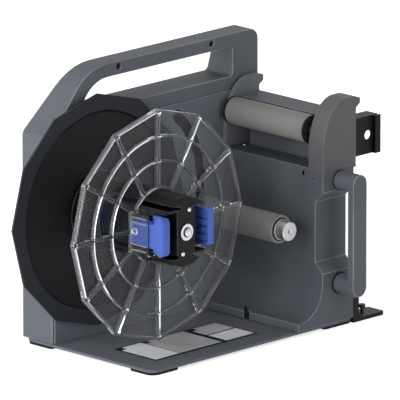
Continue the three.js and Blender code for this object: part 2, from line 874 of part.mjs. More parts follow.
// Cross wall
const upper_wall_back = wall_back - rear_support_thickness - fit_gap;
const upper_wall_front = wall_front + front_support_thickness + fit_gap;
const wall_inner_front = wall_front + recess_depth + wall_shell;

function clipNotch() {
  const x0 = wall_face - cove_radius;
  return box(
    x0 - cut_overrun, x0 + clip_depth, clip_y - clip_width / 2, clip_y + clip_width / 2,
    housing_bottom - cut_overrun, cove_foot_height + cut_overrun);
}

function sideWall() {
  const foot_x = wall_face - cove_radius;
  const cove_center = cove_foot_height + cove_radius;
  const lower = [
    point(foot_x, housing_bottom),
    ...arcPoints(foot_x, cove_center, cove_radius, -Math.PI / 2, 0),
    point(wall_face, shelf_height),
    point(upper_wall_right, shelf_height),
    point(upper_wall_right, shelf_height - upper_wall_drop),
    point(wall_right, shelf_height - upper_wall_drop),
    point(wall_right, housing_bottom),
  ];
  const upper = rectangle(upper_wall_face, upper_wall_right, shelf_height - wall_shell, upper_wall_height);
  const recess = [
    point(wall_front, recess_bottom),
    point(wall_front + recess_depth, recess_bottom + recess_depth),
    point(wall_front + recess_depth, recess_top - recess_depth),
    point(wall_front, recess_top),
    point(wall_front - cut_overrun, recess_top + cut_overrun),
    point(wall_front - cut_overrun, recess_bottom - cut_overrun),
  ];
  const room = join(
    box(wall_face + wall_shell, wall_right - wall_shell, wall_inner_front, wall_back - wall_shell,
      housing_bottom - cut_overrun, shelf_height - wall_shell),
    box(upper_wall_face + wall_groove_depth + wall_shell, upper_wall_right - wall_shell,
      upper_wall_front + wall_shell, upper_wall_back - wall_shell,
      shelf_height - wall_shell * 2, upper_wall_height - wall_shell),
  );
  const groove = box(
    upper_wall_face - cut_overrun, upper_wall_face + wall_groove_depth,
    upper_wall_back - wall_groove_width, upper_wall_back + cut_overrun,
    shelf_height, wall_groove_height);
  const sensor_slot = box(
    wall_face - cut_overrun, wall_face + wall_shell + cut_overrun,
    sensor_slot_y - sensor_slot_width / 2, sensor_slot_y + sensor_slot_width / 2,
    sensor_slot_z - sensor_slot_height / 2, sensor_slot_z + sensor_slot_height / 2);
  const shelf_hole = rodZ(
    shelf_screw_x, shelf_screw_y, shelf_screw_shank_radius + fit_gap,
    shelf_height - wall_shell - cut_overrun, shelf_height + cut_overrun);
  return cut(
    join(prismY(lower, wall_front, wall_back), prismY(upper, upper_wall_front, upper_wall_back)),
    prismX(recess, foot_x - cut_overrun, upper_wall_right + cut_overrun),
    room, groove, sensor_slot, clipNotch(), shelf_hole,
  );
}

function wallClip() {
  const x0 = wall_face - cove_radius;
  const x1 = x0 + clip_depth - fit_gap;
  const z0 = housing_bottom;
  const half = clip_width / 2 - fit_gap;
  const base = box(x0 + fit_gap, x1, clip_y - half, clip_y + half, z0, z0 + clip_height);
  const tongue = box(
    x0 + fit_gap, x0 + clip_depth / 2, clip_y + half - clip_tongue, clip_y + half,
    z0, z0 + clip_height + clip_tongue_rise);
  return join(base, tongue);
}

function shelfScrew() {
  const head_bottom = shelf_height + fit_gap;
  return join(
    rodZ(shelf_screw_x, shelf_screw_y, shelf_screw_head_radius, head_bottom,
      head_bottom + shelf_screw_head_height),
    rodZ(shelf_screw_x, shelf_screw_y, shelf_screw_shank_radius,
      head_bottom - shelf_screw_length, head_bottom + shelf_screw_head_height / 2),
  );
}

// Roller supports share one outline, which rises from the shelf in a quarter ellipse to a nose
function supportOutline() {
  const points = [point(wall_face, support_foot)];
  const steps = Math.ceil(90 / (arc_step_deg / 2));
  for (let i = 0; i <= steps; i += 1) {
    const angle = Math.PI - (Math.PI / 2) * (i / steps);
    points.push(point(
      support_curve_center + support_curve_width * Math.cos(angle),
      support_curve_start + support_curve_height * Math.sin(angle)));
  }
  points.push(
    point((support_curve_center + support_nose) / 2, support_top),
    point(support_nose, support_top - support_nose_drop),
    point(support_nose, support_top - support_nose_drop - support_nose_height),
    point(upper_wall_right, support_chin_height),
    point(upper_wall_right, support_foot),
  );
  return points;
}

function frontRollerSupport() {
  const back = wall_front + front_support_thickness;
  const seat = rodY(guide_x, guide_z, guide_axle_radius + fit_gap, back - guide_axle_seat,
    back + cut_overrun, small_sides);
  return cut(prismY(supportOutline(), wall_front, back), seat);
}

function rearRollerSupport() {
  const front = wall_back - rear_support_thickness;
  const seat = rodY(guide_x, guide_z, guide_axle_radius + fit_gap, front - cut_overrun,
    front + guide_axle_rear_seat, small_sides);
  return cut(prismY(supportOutline(), front, wall_back), seat);
}

function sideHandle() {
  const outline = stadium(
    side_handle_x, side_handle_low, side_handle_radius,
    side_handle_x, side_handle_high, side_handle_radius);
  const bar_back = side_handle_front + side_handle_bar;
  const bar = prismY(outline, side_handle_front, bar_back);
  const stubs = [side_handle_low, side_handle_high].map((z) => rodY(
    side_handle_x, z, side_handle_stub_radius, bar_back - side_handle_bar / 2, wall_front - fit_gap));
  return join(bar, ...stubs);
}

// Folded bracket: a web with a hole, a lip that steps forward, a top flange and a foot on the wall
function upperBracket() {
  const foot_x = upper_wall_right + fit_gap;
  const web_front = bracket_front + bracket_step;
  const web_back = web_front + bracket_sheet;
  const lip_x = bracket_end - bracket_lip;
  const back = bracket_front + bracket_depth;
  const plan = [
    point(foot_x, web_front),
    point(lip_x, web_front),
    point(lip_x, bracket_front),
    point(bracket_end, bracket_front),
    point(bracket_end, bracket_front + bracket_sheet),
    point(lip_x + bracket_sheet, bracket_front + bracket_sheet),
    point(lip_x + bracket_sheet, web_back),
    point(foot_x + bracket_sheet, web_back),
    point(foot_x + bracket_sheet, back),
    point(foot_x, back),
  ];
  const top = box(foot_x, bracket_end, web_front, back, bracket_high - bracket_sheet, bracket_high);
  const hole = rodY(
    lip_x - bracket_hole_from_lip, (bracket_low + bracket_high) / 2, bracket_hole_radius,
    web_front - cut_overrun, web_back + cut_overrun, round_sides);
  return cut(join(prismZ(plan, bracket_low, bracket_high), top), hole);
}

function lowerBracket() {
  const left = wall_right + fit_gap;
  const bottom = fit_gap - foot_thickness;
  const tongue_top = bottom + foot_bracket_tongue;
  const column = left + foot_bracket_column;
  const profile = roundedPoints([
    [left, bottom],
    [foot_bracket_end, bottom],
    [foot_bracket_end, tongue_top],
    [column, tongue_top, foot_bracket_fillet],
    [column, foot_bracket_height],
    [left, foot_bracket_height],
  ]);
  const back = wall_front + foot_bracket_depth;
  const plan = roundedPoints([
    [left - cut_overrun, wall_front],
    [foot_bracket_end, wall_front, foot_bracket_tip_radius],
    [foot_bracket_end, back, foot_bracket_tip_radius],
    [left - cut_overrun, back],
  ]);
  const tall = prismZ(plan, bottom - cut_overrun, foot_bracket_height + cut_overrun);
  return overlap(prismY(profile, wall_front, back), tall);
}

function clampScrew() {
  const y = wall_front + foot_bracket_depth / 2;
  const stand = fit_gap * 2 - foot_thickness + foot_bracket_tongue;
  const head = stand + clamp_screw_stand;
  return join(
    rodZ(clamp_screw_x, y, clamp_screw_shank_radius, stand, head + clamp_screw_head_height / 2),
    rodZ(clamp_screw_x, y, clamp_screw_head_radius, head, head + clamp_screw_head_height),
  );
}

// Bearing housing bolted behind the front panel, with a seat for a bearing at each end
function bearingHousing() {
  const front = bearing_front;
  const back = bearing_front + bearing_housing_length;
  const seat = bearing_outer_radius + fit_gap;
  const front_seat = front + bearing_width + fit_gap;
  const rear_seat = back - bearing_width - fit_gap;
  return turned([
    [seat, front],
    [bearing_flange_radius, front],
    [bearing_flange_radius, front + bearing_flange_thickness],
    [bearing_housing_radius, front + bearing_flange_thickness],
    [bearing_housing_radius, back],
    [seat, back],
    [seat, rear_seat],
    [bearing_shoulder_radius, rear_seat],
    [bearing_shoulder_radius, front_seat],
    [seat, front_seat],
  ], spindle_x, spindle_z);
}

function bearing(y0) {
  const bore = spindle_radius + fit_gap;
  return ringY(spindle_x, spindle_z, bore, bearing_outer_radius, y0, y0 + bearing_width);
}

const shaft_front = hub_front + hub_web_thickness + fit_gap;

function spindleShaft() {
  const collar_front = rear_flange_back + fit_gap;
  const bolt_depth = hub_front + hub_bolt_length + fit_gap;
  const bolt_hole = hub_bolt_radius + fit_gap;
  return turned([
    [0, bolt_depth],
    [bolt_hole, bolt_depth],
    [bolt_hole, shaft_front],
    [spindle_radius, shaft_front],
    [spindle_radius, collar_front],
    [spindle_collar_radius, collar_front],
    [spindle_collar_radius, collar_front + spindle_collar_length / 2],
    [spindle_radius, collar_front + spindle_collar_length],
    [spindle_radius, pulley_back],
    [0, pulley_back],
  ], spindle_x, spindle_z);
}

function coreHub() {
  const nose_radius = hub_radius - hub_nose_radius;
  const nose = arcPoints(nose_radius, hub_front + hub_nose_radius, hub_nose_radius, 0, -Math.PI / 2);
  const bore = spindle_radius + fit_gap;
  const bolt_hole = hub_bolt_radius + fit_gap;
  const body = turned([
    [bore, hub_back],
    [hub_collar_radius, hub_back],
    [hub_collar_radius, hub_back - hub_collar_thickness],
    [hub_radius, hub_back - hub_collar_thickness],
    ...nose.map((p) => [p.x, p.y]),
    [bolt_hole, hub_front],
    [bolt_hole, hub_front + hub_web_thickness],
    [bore, hub_front + hub_web_thickness],
  ], spindle_x, spindle_z, fine_sides);
  const front = hub_front - cut_overrun;
  const reach = hub_radius + cut_overrun;
  const sides = [-1, 1].flatMap((side) => [
    box(...sorted(spindle_x + side * hub_web_half, spindle_x + side * reach), front, hub_channel_back,
      spindle_z - hub_channel_half, spindle_z + hub_channel_half),
    prismY(hubGroove(side, reach), front, hub_channel_back),
  ]);
  const screw_holes = hubScrewPlaces().map(([x, z]) => rodY(
    x, z, hub_screw_shank_radius + fit_gap, front, hub_front + hub_screw_length + fit_gap, small_sides));
  return cut(body, ...sides, ...screw_holes);
}

// A groove along the hub between a channel and its outer shell: lower right for side 1, upper left for -1
function hubGroove(side, reach) {
  const corners = [
    [reach, hub_groove_low],
    [hub_web_half, hub_groove_low],
    [hub_groove_end, hub_groove_low - hub_groove_dip],
    [hub_groove_end, hub_groove_high - hub_groove_dip],
    [hub_web_half, hub_groove_high],
    [reach, hub_groove_high],
  ];
  return corners.map(([x, z]) => point(spindle_x + side * x, spindle_z - side * z));
}

function hubScrewPlaces() {
  return [1, -1].map((side) => [spindle_x + side * hub_screw_x, spindle_z + side * hub_screw_z]);
}

function hubScrew([x, z]) {
  const head_back = hub_front - fit_gap;
  return turned([
    [0, head_back - hub_screw_head_height],
    [hub_screw_head_radius, head_back - hub_screw_head_height],
    [hub_screw_head_radius, head_back],
    [hub_screw_shank_radius, head_back],
    [hub_screw_shank_radius, hub_front + hub_screw_length],
    [0, hub_front + hub_screw_length],
  ], x, z, small_sides);
}

function hubWasher() {
  const back = hub_front - fit_gap;
  return ringY(
    spindle_x, spindle_z, hub_bolt_radius + fit_gap, hub_washer_radius, back - hub_washer_thickness, back);
}

function hubBolt() {
  const head_back = hub_front - fit_gap * 2 - hub_washer_thickness;
  return turned([
    [0, head_back - hub_bolt_head_height],
    [hub_bolt_head_radius, head_back - hub_bolt_head_height],
    [hub_bolt_head_radius, head_back],
    [hub_bolt_radius, head_back],
    [hub_bolt_radius, hub_front + hub_bolt_length],
    [0, hub_front + hub_bolt_length],
  ], spindle_x, spindle_z, small_sides);
}

// Twelve-sided plate with a shallow dish
function rearFlange() {
  const plate = rodY(
    spindle_x, spindle_z, rear_flange_radius, rear_flange_front, rear_flange_back, flange_sides);
  const dish = turned([
    [0, rear_flange_front - cut_overrun],
    [rear_dish_radius, rear_flange_front - cut_overrun],
    [rear_dish_radius, rear_flange_front],
    [rear_dish_radius - rear_dish_slope, dish_face],
    [0, dish_face],
  ], spindle_x, spindle_z, fine_sides);
  const ring_back = rear_flange_front + rear_flange_thickness;
  const back_ring = turned([
    [rear_dish_radius + rear_dish_slope, ring_back],
    [rear_flange_radius + cut_overrun, ring_back],
    [rear_flange_radius + cut_overrun, rear_flange_back + cut_overrun],
    [rear_dish_radius + rear_dish_slope, rear_flange_back + cut_overrun],
  ], spindle_x, spindle_z, fine_sides);
  const bore = rodY(
    spindle_x, spindle_z, spindle_radius + fit_gap, rear_flange_front, rear_flange_back + cut_overrun);
  return cut(plate, dish, back_ring, bore);
}

// Clear flange: a disc with a rim, twelve ribs, two ring ribs, a collar and two latch boxes
const clear_disc_back = clear_flange_front + clear_rim_depth;
const clear_disc_front = clear_disc_back - clear_disc_thickness;
const latch_outer = tab_outer + tab_play + latch_box_wall;

function latchBox(side) {
  const half = latch_half + latch_box_wall;
  return box(
    ...sorted(spindle_x + side * latch_box_inner, spindle_x + side * latch_outer),
    latch_box_front, clear_disc_back, spindle_z - half, spindle_z + half);
}

function latchRoom(side) {
  const inner = spindle_x + side * (latch_box_inner + latch_box_wall);
  const outer = spindle_x + side * (latch_outer - latch_box_wall);
  return box(
    ...sorted(inner, outer), latch_box_front - cut_overrun, clear_disc_front,
    spindle_z - latch_half, spindle_z + latch_half);
}

function outerFlange() {
  const disc = rodY(
    spindle_x, spindle_z, clear_flange_radius, clear_disc_front, clear_disc_back, flange_sides);
  const rim = cut(
    rodY(spindle_x, spindle_z, clear_flange_radius, clear_flange_front, clear_disc_back, flange_sides),
    rodY(spindle_x, spindle_z, clear_flange_radius - clear_rim_width, clear_flange_front - cut_overrun,
      clear_disc_back + cut_overrun, flange_sides));
  const ring_middles = [...clear_ring_middles, clear_bore + clear_collar_width / 2];
  const rings = ring_middles.map((radius) => ringY(
    spindle_x, spindle_z, radius - clear_collar_width / 2, radius + clear_collar_width / 2,
    clear_flange_front, clear_disc_back - clear_disc_thickness / 2));
  const ribs = [];
  for (let i = 0; i < flange_sides; i += 1) {
    const rib = box(
      clear_bore, clear_flange_radius - clear_rim_width, clear_flange_front,
      clear_disc_back - clear_disc_thickness / 2, -clear_rib_width / 2, clear_rib_width / 2);
    ribs.push(rib.rotateY((2 * Math.PI * i) / flange_sides).translate(spindle_x, 0, spindle_z));
  }
  const bore = rodY(
    spindle_x, spindle_z, clear_bore, clear_flange_front - cut_overrun, clear_disc_back + cut_overrun);
  const body = cut(join(disc, rim, ...rings, ...ribs), bore);
  return cut(join(body, latchBox(-1), latchBox(1)), latchRoom(-1), latchRoom(1));
}

// A tab: a finger pad in front, a shank in the latch box, grip grooves and a spring pocket inside
function releaseTab(side) {
  const back = clear_disc_front - fit_gap;
  const inner = tab_outer - tab_thickness;
  const plan = roundedPoints([
    [inner, back],
    [inner, tab_front],
    [tab_outer - tab_chamfer, tab_front],
    [tab_outer, tab_front + tab_chamfer],
    [tab_outer, back],
  ]);
  const body = prismZ(plan, -tab_half_height, tab_half_height);
  const side_view = roundedPoints([
    [back + cut_overrun, -tab_half_height],
    [tab_front, -tab_half_height, tab_corner_radius],
    [tab_front, tab_half_height, tab_corner_radius],
    [back + cut_overrun, tab_half_height],
  ]);
  const rounded = overlap(body, prismX(side_view, inner - cut_overrun, tab_outer + cut_overrun));
  const pitch = (2 * tab_half_height) / (tab_rib_count + 1);
  const grooves = [];
  for (let i = 1; i <= tab_rib_count; i += 1) {
    const z = -tab_half_height + i * pitch;
    grooves.push(box(
      inner - cut_overrun, inner + tab_rib_depth, tab_front + tab_chamfer,
      tab_front + tab_chamfer + tab_groove_length, z - tab_rib_width / 2, z + tab_rib_width / 2));
  }
  const pocket = rodX(
    back - tab_spring_back, 0, tab_pocket_radius, inner - cut_overrun, inner + tab_pocket_depth);
  const right_tab = cut(rounded, ...grooves, pocket);
  return right_tab.rotate(0, side > 0 ? 0 : 180, 0).translate(spindle_x, 0, spindle_z);
}

function tabSpring(side) {
  const length_start = latch_box_inner + latch_box_wall + fit_gap;
  const length_end = tab_outer - tab_thickness + tab_pocket_depth - fit_gap;
  const y = clear_disc_front - fit_gap - tab_spring_back;
  const [x0, x1] = sorted(spindle_x + side * length_start, spindle_x + side * length_end);
  const tube = cut(
    rodX(y, spindle_z, tab_spring_radius, x0, x1),
    rodX(y, spindle_z, tab_spring_bore, x0 - cut_overrun, x1 + cut_overrun));
  return tube;
}

// Belt drive
function pulley(x, z, radius, shaft_radius) {
  const rim_radius = radius + pulley_rim_height;
  const bore = shaft_radius + fit_gap;
  return turned([
    [bore, pulley_front],
    [rim_radius, pulley_front],
    [rim_radius, pulley_front + pulley_rim],
    [radius, pulley_front + pulley_rim],
    [radius, pulley_back - pulley_rim],
    [rim_radius, pulley_back - pulley_rim],
    [rim_radius, pulley_back],
    [bore, pulley_back],
  ], x, z);
}

function driveBelt() {
  const middle = (pulley_front + pulley_back) / 2;
  const loop = (extra) => stadium(
    spindle_x, spindle_z, driven_pulley_radius + extra, motor_x, motor_z, drive_pulley_radius + extra);
  return prismY(
    loop(fit_gap + belt_thickness), middle - belt_width / 2, middle + belt_width / 2, [loop(fit_gap)]);
}

function motorMount() {
  return box(
    motor_x - motor_mount_half, motor_x + motor_mount_half, 0, motor_mount_thickness,
    motor_z - motor_mount_half, motor_z + motor_mount_half);
}

function windingMotor() {
  const front = motor_mount_thickness + fit_gap;
  const back = front + motor_length;
  return turned([
    [0, front],
    [motor_radius, front],
    [motor_radius, back],
    [motor_shaft_radius + fit_gap, back],
    [motor_shaft_radius + fit_gap, back - motor_shaft_grip - fit_gap],
    [0, back - motor_shaft_grip - fit_gap],
  ], motor_x, motor_z);
}

function motorShaft() {
  const start = motor_mount_thickness + fit_gap + motor_length - motor_shaft_grip;
  return rodY(motor_x, motor_z, motor_shaft_radius, start, pulley_back, small_sides);
}

// Dancer arm, built at its resting angle
const arm_front = arm_stand_off;
const arm_back = arm_front + arm_thickness;
const [roller_x, roller_z] = armPlace(arm_rest_deg);

function pivotPost() {
  return turned([
    [0, 0],
    [pivot_base_radius, 0],
    [pivot_base_radius, arm_front - fit_gap],
    [pivot_radius, arm_front - fit_gap],
    [pivot_radius, arm_back + fit_gap * 2 + pivot_clip_thickness],
    [0, arm_back + fit_gap * 2 + pivot_clip_thickness],
  ], pivot_x, pivot_z);
}

function pivotClip() {
  return ringY(
    pivot_x, pivot_z, pivot_radius + fit_gap, pivot_clip_radius, arm_back + fit_gap,
    arm_back + fit_gap + pivot_clip_thickness, small_sides);
}

function dancerArm() {
  const outline = stadium(pivot_x, pivot_z, arm_pivot_radius, roller_x, roller_z, arm_end_radius);
  const pivot_hole = circlePoints(pivot_x, pivot_z, pivot_radius + fit_gap, round_sides);
  const axle_hole = circlePoints(roller_x, roller_z, axle_tail_radius + fit_gap, small_sides);
  return prismY(outline, arm_front, arm_back, [pivot_hole, axle_hole]);
}

function dancerAxle() {
  return turned([
    [0, axle_front + axle_center_radius],
    [axle_center_radius, axle_front],
    [axle_radius - axle_chamfer, axle_front],
    [axle_radius, axle_front + axle_chamfer],
    [axle_radius, axle_back],
    [axle_neck_radius, axle_back],
    [axle_neck_radius, arm_front - fit_gap],
    [axle_tail_radius, arm_front - fit_gap],
    [axle_tail_radius, arm_back + fit_gap + axle_nut_height],
    [0, arm_back + fit_gap + axle_nut_height],
  ], roller_x, roller_z);
}

function axleNut() {
  const front = arm_back + fit_gap;
  return cut(
    rodY(roller_x, roller_z, axle_nut_radius, front, front + axle_nut_height, nut_sides),
    rodY(roller_x, roller_z, axle_tail_radius + fit_gap, front - cut_overrun,
      front + axle_nut_height + cut_overrun, small_sides));
}

function dancerBush(y0) {
  return ringY(roller_x, roller_z, axle_radius + fit_gap, bush_radius, y0, y0 + bush_length);
}

function dancerRoller() {
  return ringY(
    roller_x, roller_z, bush_radius + fit_gap, dancer_roller_radius,
    dancer_roller_front, dancer_roller_back);
}

function retainingRing() {
  const back = dancer_roller_front - fit_gap;
  return ringY(roller_x, roller_z, axle_radius + fit_gap, ring_radius, back - ring_thickness, back);
}

function dancerStop() {
  const share = stop_along / arm_length;
  const half = arm_pivot_radius + (arm_end_radius - arm_pivot_radius) * share;
  const angle = radians(arm_rest_deg);
  const offset = half + stop_radius + fit_gap;
  const x = pivot_x + stop_along * Math.cos(angle) + offset * Math.sin(angle);
  const z = pivot_z + stop_along * Math.sin(angle) - offset * Math.cos(angle);
  return rodY(x, z, stop_radius, 0, stop_length, small_sides);
}

// Guide roller between the two supports
function guideAxle() {
  const front = wall_front + front_support_thickness - guide_axle_seat + fit_gap;
  const back = wall_back - rear_support_thickness + guide_axle_rear_seat - fit_gap;
  return rodY(guide_x, guide_z, guide_axle_radius, front, back, small_sides);
}

function guideRoller() {
  return ringY(guide_x, guide_z, guide_bore_radius, guide_radius, guide_front, guide_back);
}

// A cap that closes one end of the guide roller; side is -1 at the front and 1 at the back
function guideCap(side) {
  const seat = (side < 0 ? guide_front : guide_back) + side * fit_gap;
  const outer = seat + side * guide_cap_thickness;
  const inner = seat - side * guide_cap_spigot;
  const recess = outer - side * guide_cap_recess_depth;
  const bore = guide_axle_radius + fit_gap;
  return turned([
    [bore, recess],
    [guide_cap_recess_radius, recess],
    [guide_cap_recess_radius, outer],
    [guide_radius + guide_cap_overhang, outer],
    [guide_radius + guide_cap_overhang, seat],
    [guide_bore_radius - fit_gap, seat],
    [guide_bore_radius - fit_gap, inner],
    [bore, inner],
  ], guide_x, guide_z);
}

// Circuit board with its main components, on a tray with four posts
const board_right = board_left + board_length;
const board_top = board_bottom + board_height;

function boardComponent([left_share, low_share, width_share, height_share], depth) {
  const x0 = board_left + board_length * left_share;
  const z0 = board_bottom + board_height * low_share;
  const y0 = board_stand_off + board_thickness / 2;
  return box(
    x0, x0 + board_length * width_share, y0, board_stand_off + board_thickness + depth,
    z0, z0 + board_height * height_share);
}

function circuitBoard() {
  const back = board_stand_off + board_thickness;
  return join(
    box(board_left, board_right, board_stand_off, back, board_bottom, board_top),
    ...board_chip_shares.map((shares) => boardComponent(shares, board_chip_height)),
    ...board_plug_shares.map((shares) => boardComponent(shares, board_plug_height)),
  );
}

function boardTray() {
  const plate = box(board_left, board_right, 0, board_tray_thickness, board_bottom, board_top);
  const columns = [board_left + board_post_margin, board_right - board_post_margin];
  const rows = [board_bottom + board_post_margin, board_top - board_post_margin];
  const posts = columns.flatMap((x) => rows.map((z) => rodY(
    x, z, board_post_radius, board_tray_thickness / 2, board_stand_off - fit_gap, small_sides)));
  return join(plate, ...posts);
}

// The whole rewinder
const rewinder = new THREE.Group();

function group(parent = rewinder) {
  const child = new THREE.Group();
  parent.add(child);
  return child;
}

function add(parent, name, body, material) {
  const mesh = new THREE.Mesh(toGeometry(toManifold(body)), material);
  mesh.name = name;
  parent.add(mesh);
}

const frame = group();
add(frame, "main_housing", mainHousing(), painted);
add(frame, "front_panel", frontPanel(), painted);
add(frame, "back_cover", backCover(), painted);
add(frame, "base_plate", basePlate(), painted);
add(frame, "side_wall", sideWall(), painted);
add(frame, "front_roller_support", frontRollerSupport(), moulded);
add(frame, "rear_roller_support", rearRollerSupport(), moulded);
add(frame, "side_handle", sideHandle(), painted);
add(frame, "upper_printer_bracket", upperBracket(), bracket_black);
add(frame, "lower_printer_bracket", lowerBracket(), bracket_black);
add(frame, "instruction_plate", instructionPlate(), printed);

const foot_right = base_length - foot_inset - foot_length;
const foot_front = base_front + foot_inset;
const foot_rear = base_back - foot_inset - foot_depth;
add(frame, "foot_front_left", foot(foot_inset, foot_front, base_front_corner_radius), rubber);
add(frame, "foot_front_right", foot(foot_right, foot_front, foot_corner_radius), rubber);
add(frame, "foot_rear_left", foot(foot_inset, foot_rear, foot_corner_radius), rubber);
add(frame, "foot_rear_right", foot(foot_right, foot_rear, foot_corner_radius), rubber);

add(frame, "handle_screw_left", handleScrew(handle_screw_left), steel);
add(frame, "handle_screw_right", handleScrew(handle_screw_right), steel);
add(frame, "shelf_screw", shelfScrew(), steel);
add(frame, "clamp_screw", clampScrew(), bracket_black);
add(frame, "wall_clip", wallClip(), painted);

const rear_bearing_front = bearing_front + bearing_housing_length - bearing_width;
add(frame, "spindle_bearing_housing", bearingHousing(), steel);
add(frame, "spindle_front_bearing", bearing(bearing_front), steel);
add(frame, "spindle_rear_bearing", bearing(rear_bearing_front), steel);
add(frame, "motor_mount", motorMount(), steel);
add(frame, "winding_motor", windingMotor(), black);
add(frame, "drive_belt", driveBelt(), rubber);
add(frame, "circuit_board", circuitBoard(), board_green);
add(frame, "board_tray", boardTray(), steel);
add(frame, "power_inlet", powerInlet(), black);
add(frame, "power_switch_frame", switchFrame(), black);
add(frame, "dancer_pivot_post", pivotPost(), steel);
add(frame, "dancer_pivot_clip", pivotClip(), steel);
add(frame, "dancer_stop", dancerStop(), rubber);
add(frame, "guide_roller_axle", guideAxle(), steel);

const rocker = group();
add(rocker, "power_rocker", powerRocker(), black);

const spindle = group();
add(spindle, "spindle_shaft", spindleShaft(), steel);
add(spindle, "label_core_hub", coreHub(), black);
add(spindle, "hub_washer", hubWasher(), steel);
add(spindle, "hub_bolt", hubBolt(), steel);
const [upper_screw, lower_screw] = hubScrewPlaces();
add(spindle, "hub_screw_upper", hubScrew(upper_screw), steel);
add(spindle, "hub_screw_lower", hubScrew(lower_screw), steel);
add(spindle, "rear_flange", rearFlange(), black);
const driven_pulley = pulley(spindle_x, spindle_z, driven_pulley_radius, spindle_radius);
add(spindle, "driven_pulley", driven_pulley, black);

const outer = group(spindle);
add(outer, "outer_flange", outerFlange(), clear);
add(outer, "left_tab_spring", tabSpring(-1), steel);
add(outer, "right_tab_spring", tabSpring(1), steel);
add(outer, "left_release_tab", releaseTab(-1), blue);
add(outer, "right_release_tab", releaseTab(1), blue);

const motor_rotor = group();
add(motor_rotor, "motor_shaft", motorShaft(), steel);
const drive_pulley = pulley(motor_x, motor_z, drive_pulley_radius, motor_shaft_radius);
add(motor_rotor, "drive_pulley", drive_pulley, black);

const dancer = group();
add(dancer, "dancer_arm", dancerArm(), steel);
add(dancer, "dancer_axle", dancerAxle(), steel);
add(dancer, "dancer_axle_nut", axleNut(), steel);
add(dancer, "dancer_retaining_ring", retainingRing(), steel);
add(dancer, "dancer_roller", dancerRoller(), roller_grey);
add(dancer, "dancer_front_bush", dancerBush(dancer_roller_front), black);
add(dancer, "dancer_rear_bush", dancerBush(dancer_roller_back - bush_length), black);

const guide = group();
add(guide, "guide_roller", guideRoller(), roller_grey);
add(guide, "guide_roller_front_cap", guideCap(-1), black);
add(guide, "guide_roller_rear_cap", guideCap(1), black);

// Reference point: the middle of the outline on the ground
const left_end = spindle_x - rear_flange_radius;
const middle_x = (left_end + bracket_end) / 2;
const middle_y = (side_handle_front + rocker_back) / 2;
rewinder.position.set(-middle_x, -middle_y, foot_thickness);

export default rewinder;
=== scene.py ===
# %% [markdown]
# # A label rewinder
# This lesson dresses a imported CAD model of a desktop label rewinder. The real machine winds a web of
# labels onto a hub between two flanges. The frame gives every solid in its place, so each visible piece
# is either a finished copy of a solid, with softened edges, or a new piece modelled where the solid is.

# %% Load the frame
import json
from math import atan, cos, pi, radians, sin

import bmesh
import bpy
from mathutils import Matrix, Vector


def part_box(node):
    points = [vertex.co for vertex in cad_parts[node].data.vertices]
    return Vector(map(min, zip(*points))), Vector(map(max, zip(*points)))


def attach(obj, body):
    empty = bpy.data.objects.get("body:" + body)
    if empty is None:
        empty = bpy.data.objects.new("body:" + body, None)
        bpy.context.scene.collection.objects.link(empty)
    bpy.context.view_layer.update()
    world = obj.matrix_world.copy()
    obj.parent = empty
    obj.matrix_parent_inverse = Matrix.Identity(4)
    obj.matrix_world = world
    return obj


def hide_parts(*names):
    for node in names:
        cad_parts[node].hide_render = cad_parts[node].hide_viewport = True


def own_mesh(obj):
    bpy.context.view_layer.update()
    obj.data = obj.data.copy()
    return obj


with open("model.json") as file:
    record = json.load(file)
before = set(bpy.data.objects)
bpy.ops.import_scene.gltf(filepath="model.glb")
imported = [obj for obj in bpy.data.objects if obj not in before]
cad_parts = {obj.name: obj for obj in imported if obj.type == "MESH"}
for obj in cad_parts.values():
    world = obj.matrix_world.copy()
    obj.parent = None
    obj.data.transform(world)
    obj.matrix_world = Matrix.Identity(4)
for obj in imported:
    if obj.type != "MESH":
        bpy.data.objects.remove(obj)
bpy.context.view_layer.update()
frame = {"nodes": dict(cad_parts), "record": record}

# %% [markdown]
# Sizes are written in millimetres, as on a drawing. They are measured from the lower left front corner
# of the housing, at the underside of the base plate: X to the right, Y to the back and Z up. One
# function turns such a place into Blender's metres.

# %% Drawing places
MM = 0.001
housing_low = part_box("main_housing")[0]
CORNER = Vector((housing_low.x, housing_low.y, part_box("base_plate")[0].z))


def at(x, y, z):
    """A place on the drawing, in the frame's metres."""
    return CORNER + Vector((x, y, z)) * MM


print("Corner of the housing:", [round(value, 4) for value in CORNER])

# %% [markdown]
# The photograph was taken with a long lens from the front left, a little above. Its direction and scale
# came from the edges of the housing, so the camera stands far away with a narrow angle and is aimed so
# that the housing's corner falls on the same spot of the picture.

# %% Camera
PICTURE = 400
VIEW_TURN = radians(45.3)
VIEW_RISE = radians(14.75)
PIXELS_PER_MM = 0.957
LENS_PIXELS = 10950
CORNER_PIXEL = (52.3, 347.4)

to_camera = Vector((-sin(VIEW_TURN) * cos(VIEW_RISE), -cos(VIEW_TURN) * cos(VIEW_RISE), sin(VIEW_RISE)))
to_right = Vector((cos(VIEW_TURN), -sin(VIEW_TURN), 0))
to_top = to_camera.cross(to_right)
away = LENS_PIXELS / PIXELS_PER_MM
right_offset = (CORNER_PIXEL[0] - PICTURE / 2) / PIXELS_PER_MM
top_offset = (PICTURE / 2 - CORNER_PIXEL[1]) / PIXELS_PER_MM

lens = bpy.data.cameras.new("long_lens")
lens.angle = 2 * atan(PICTURE / 2 / LENS_PIXELS)
lens.clip_end = 100
camera = bpy.data.objects.new("camera", lens)
camera.location = CORNER + (to_camera * away - to_right * right_offset - to_top * top_offset) * MM
camera.rotation_euler = Matrix((to_right, to_top, to_camera)).transposed().to_euler()
bpy.context.collection.objects.link(camera)
bpy.context.scene.camera = camera
bpy.context.scene.view_settings.view_transform = "Standard"
print("Camera distance:", round(away * MM, 3), "m")

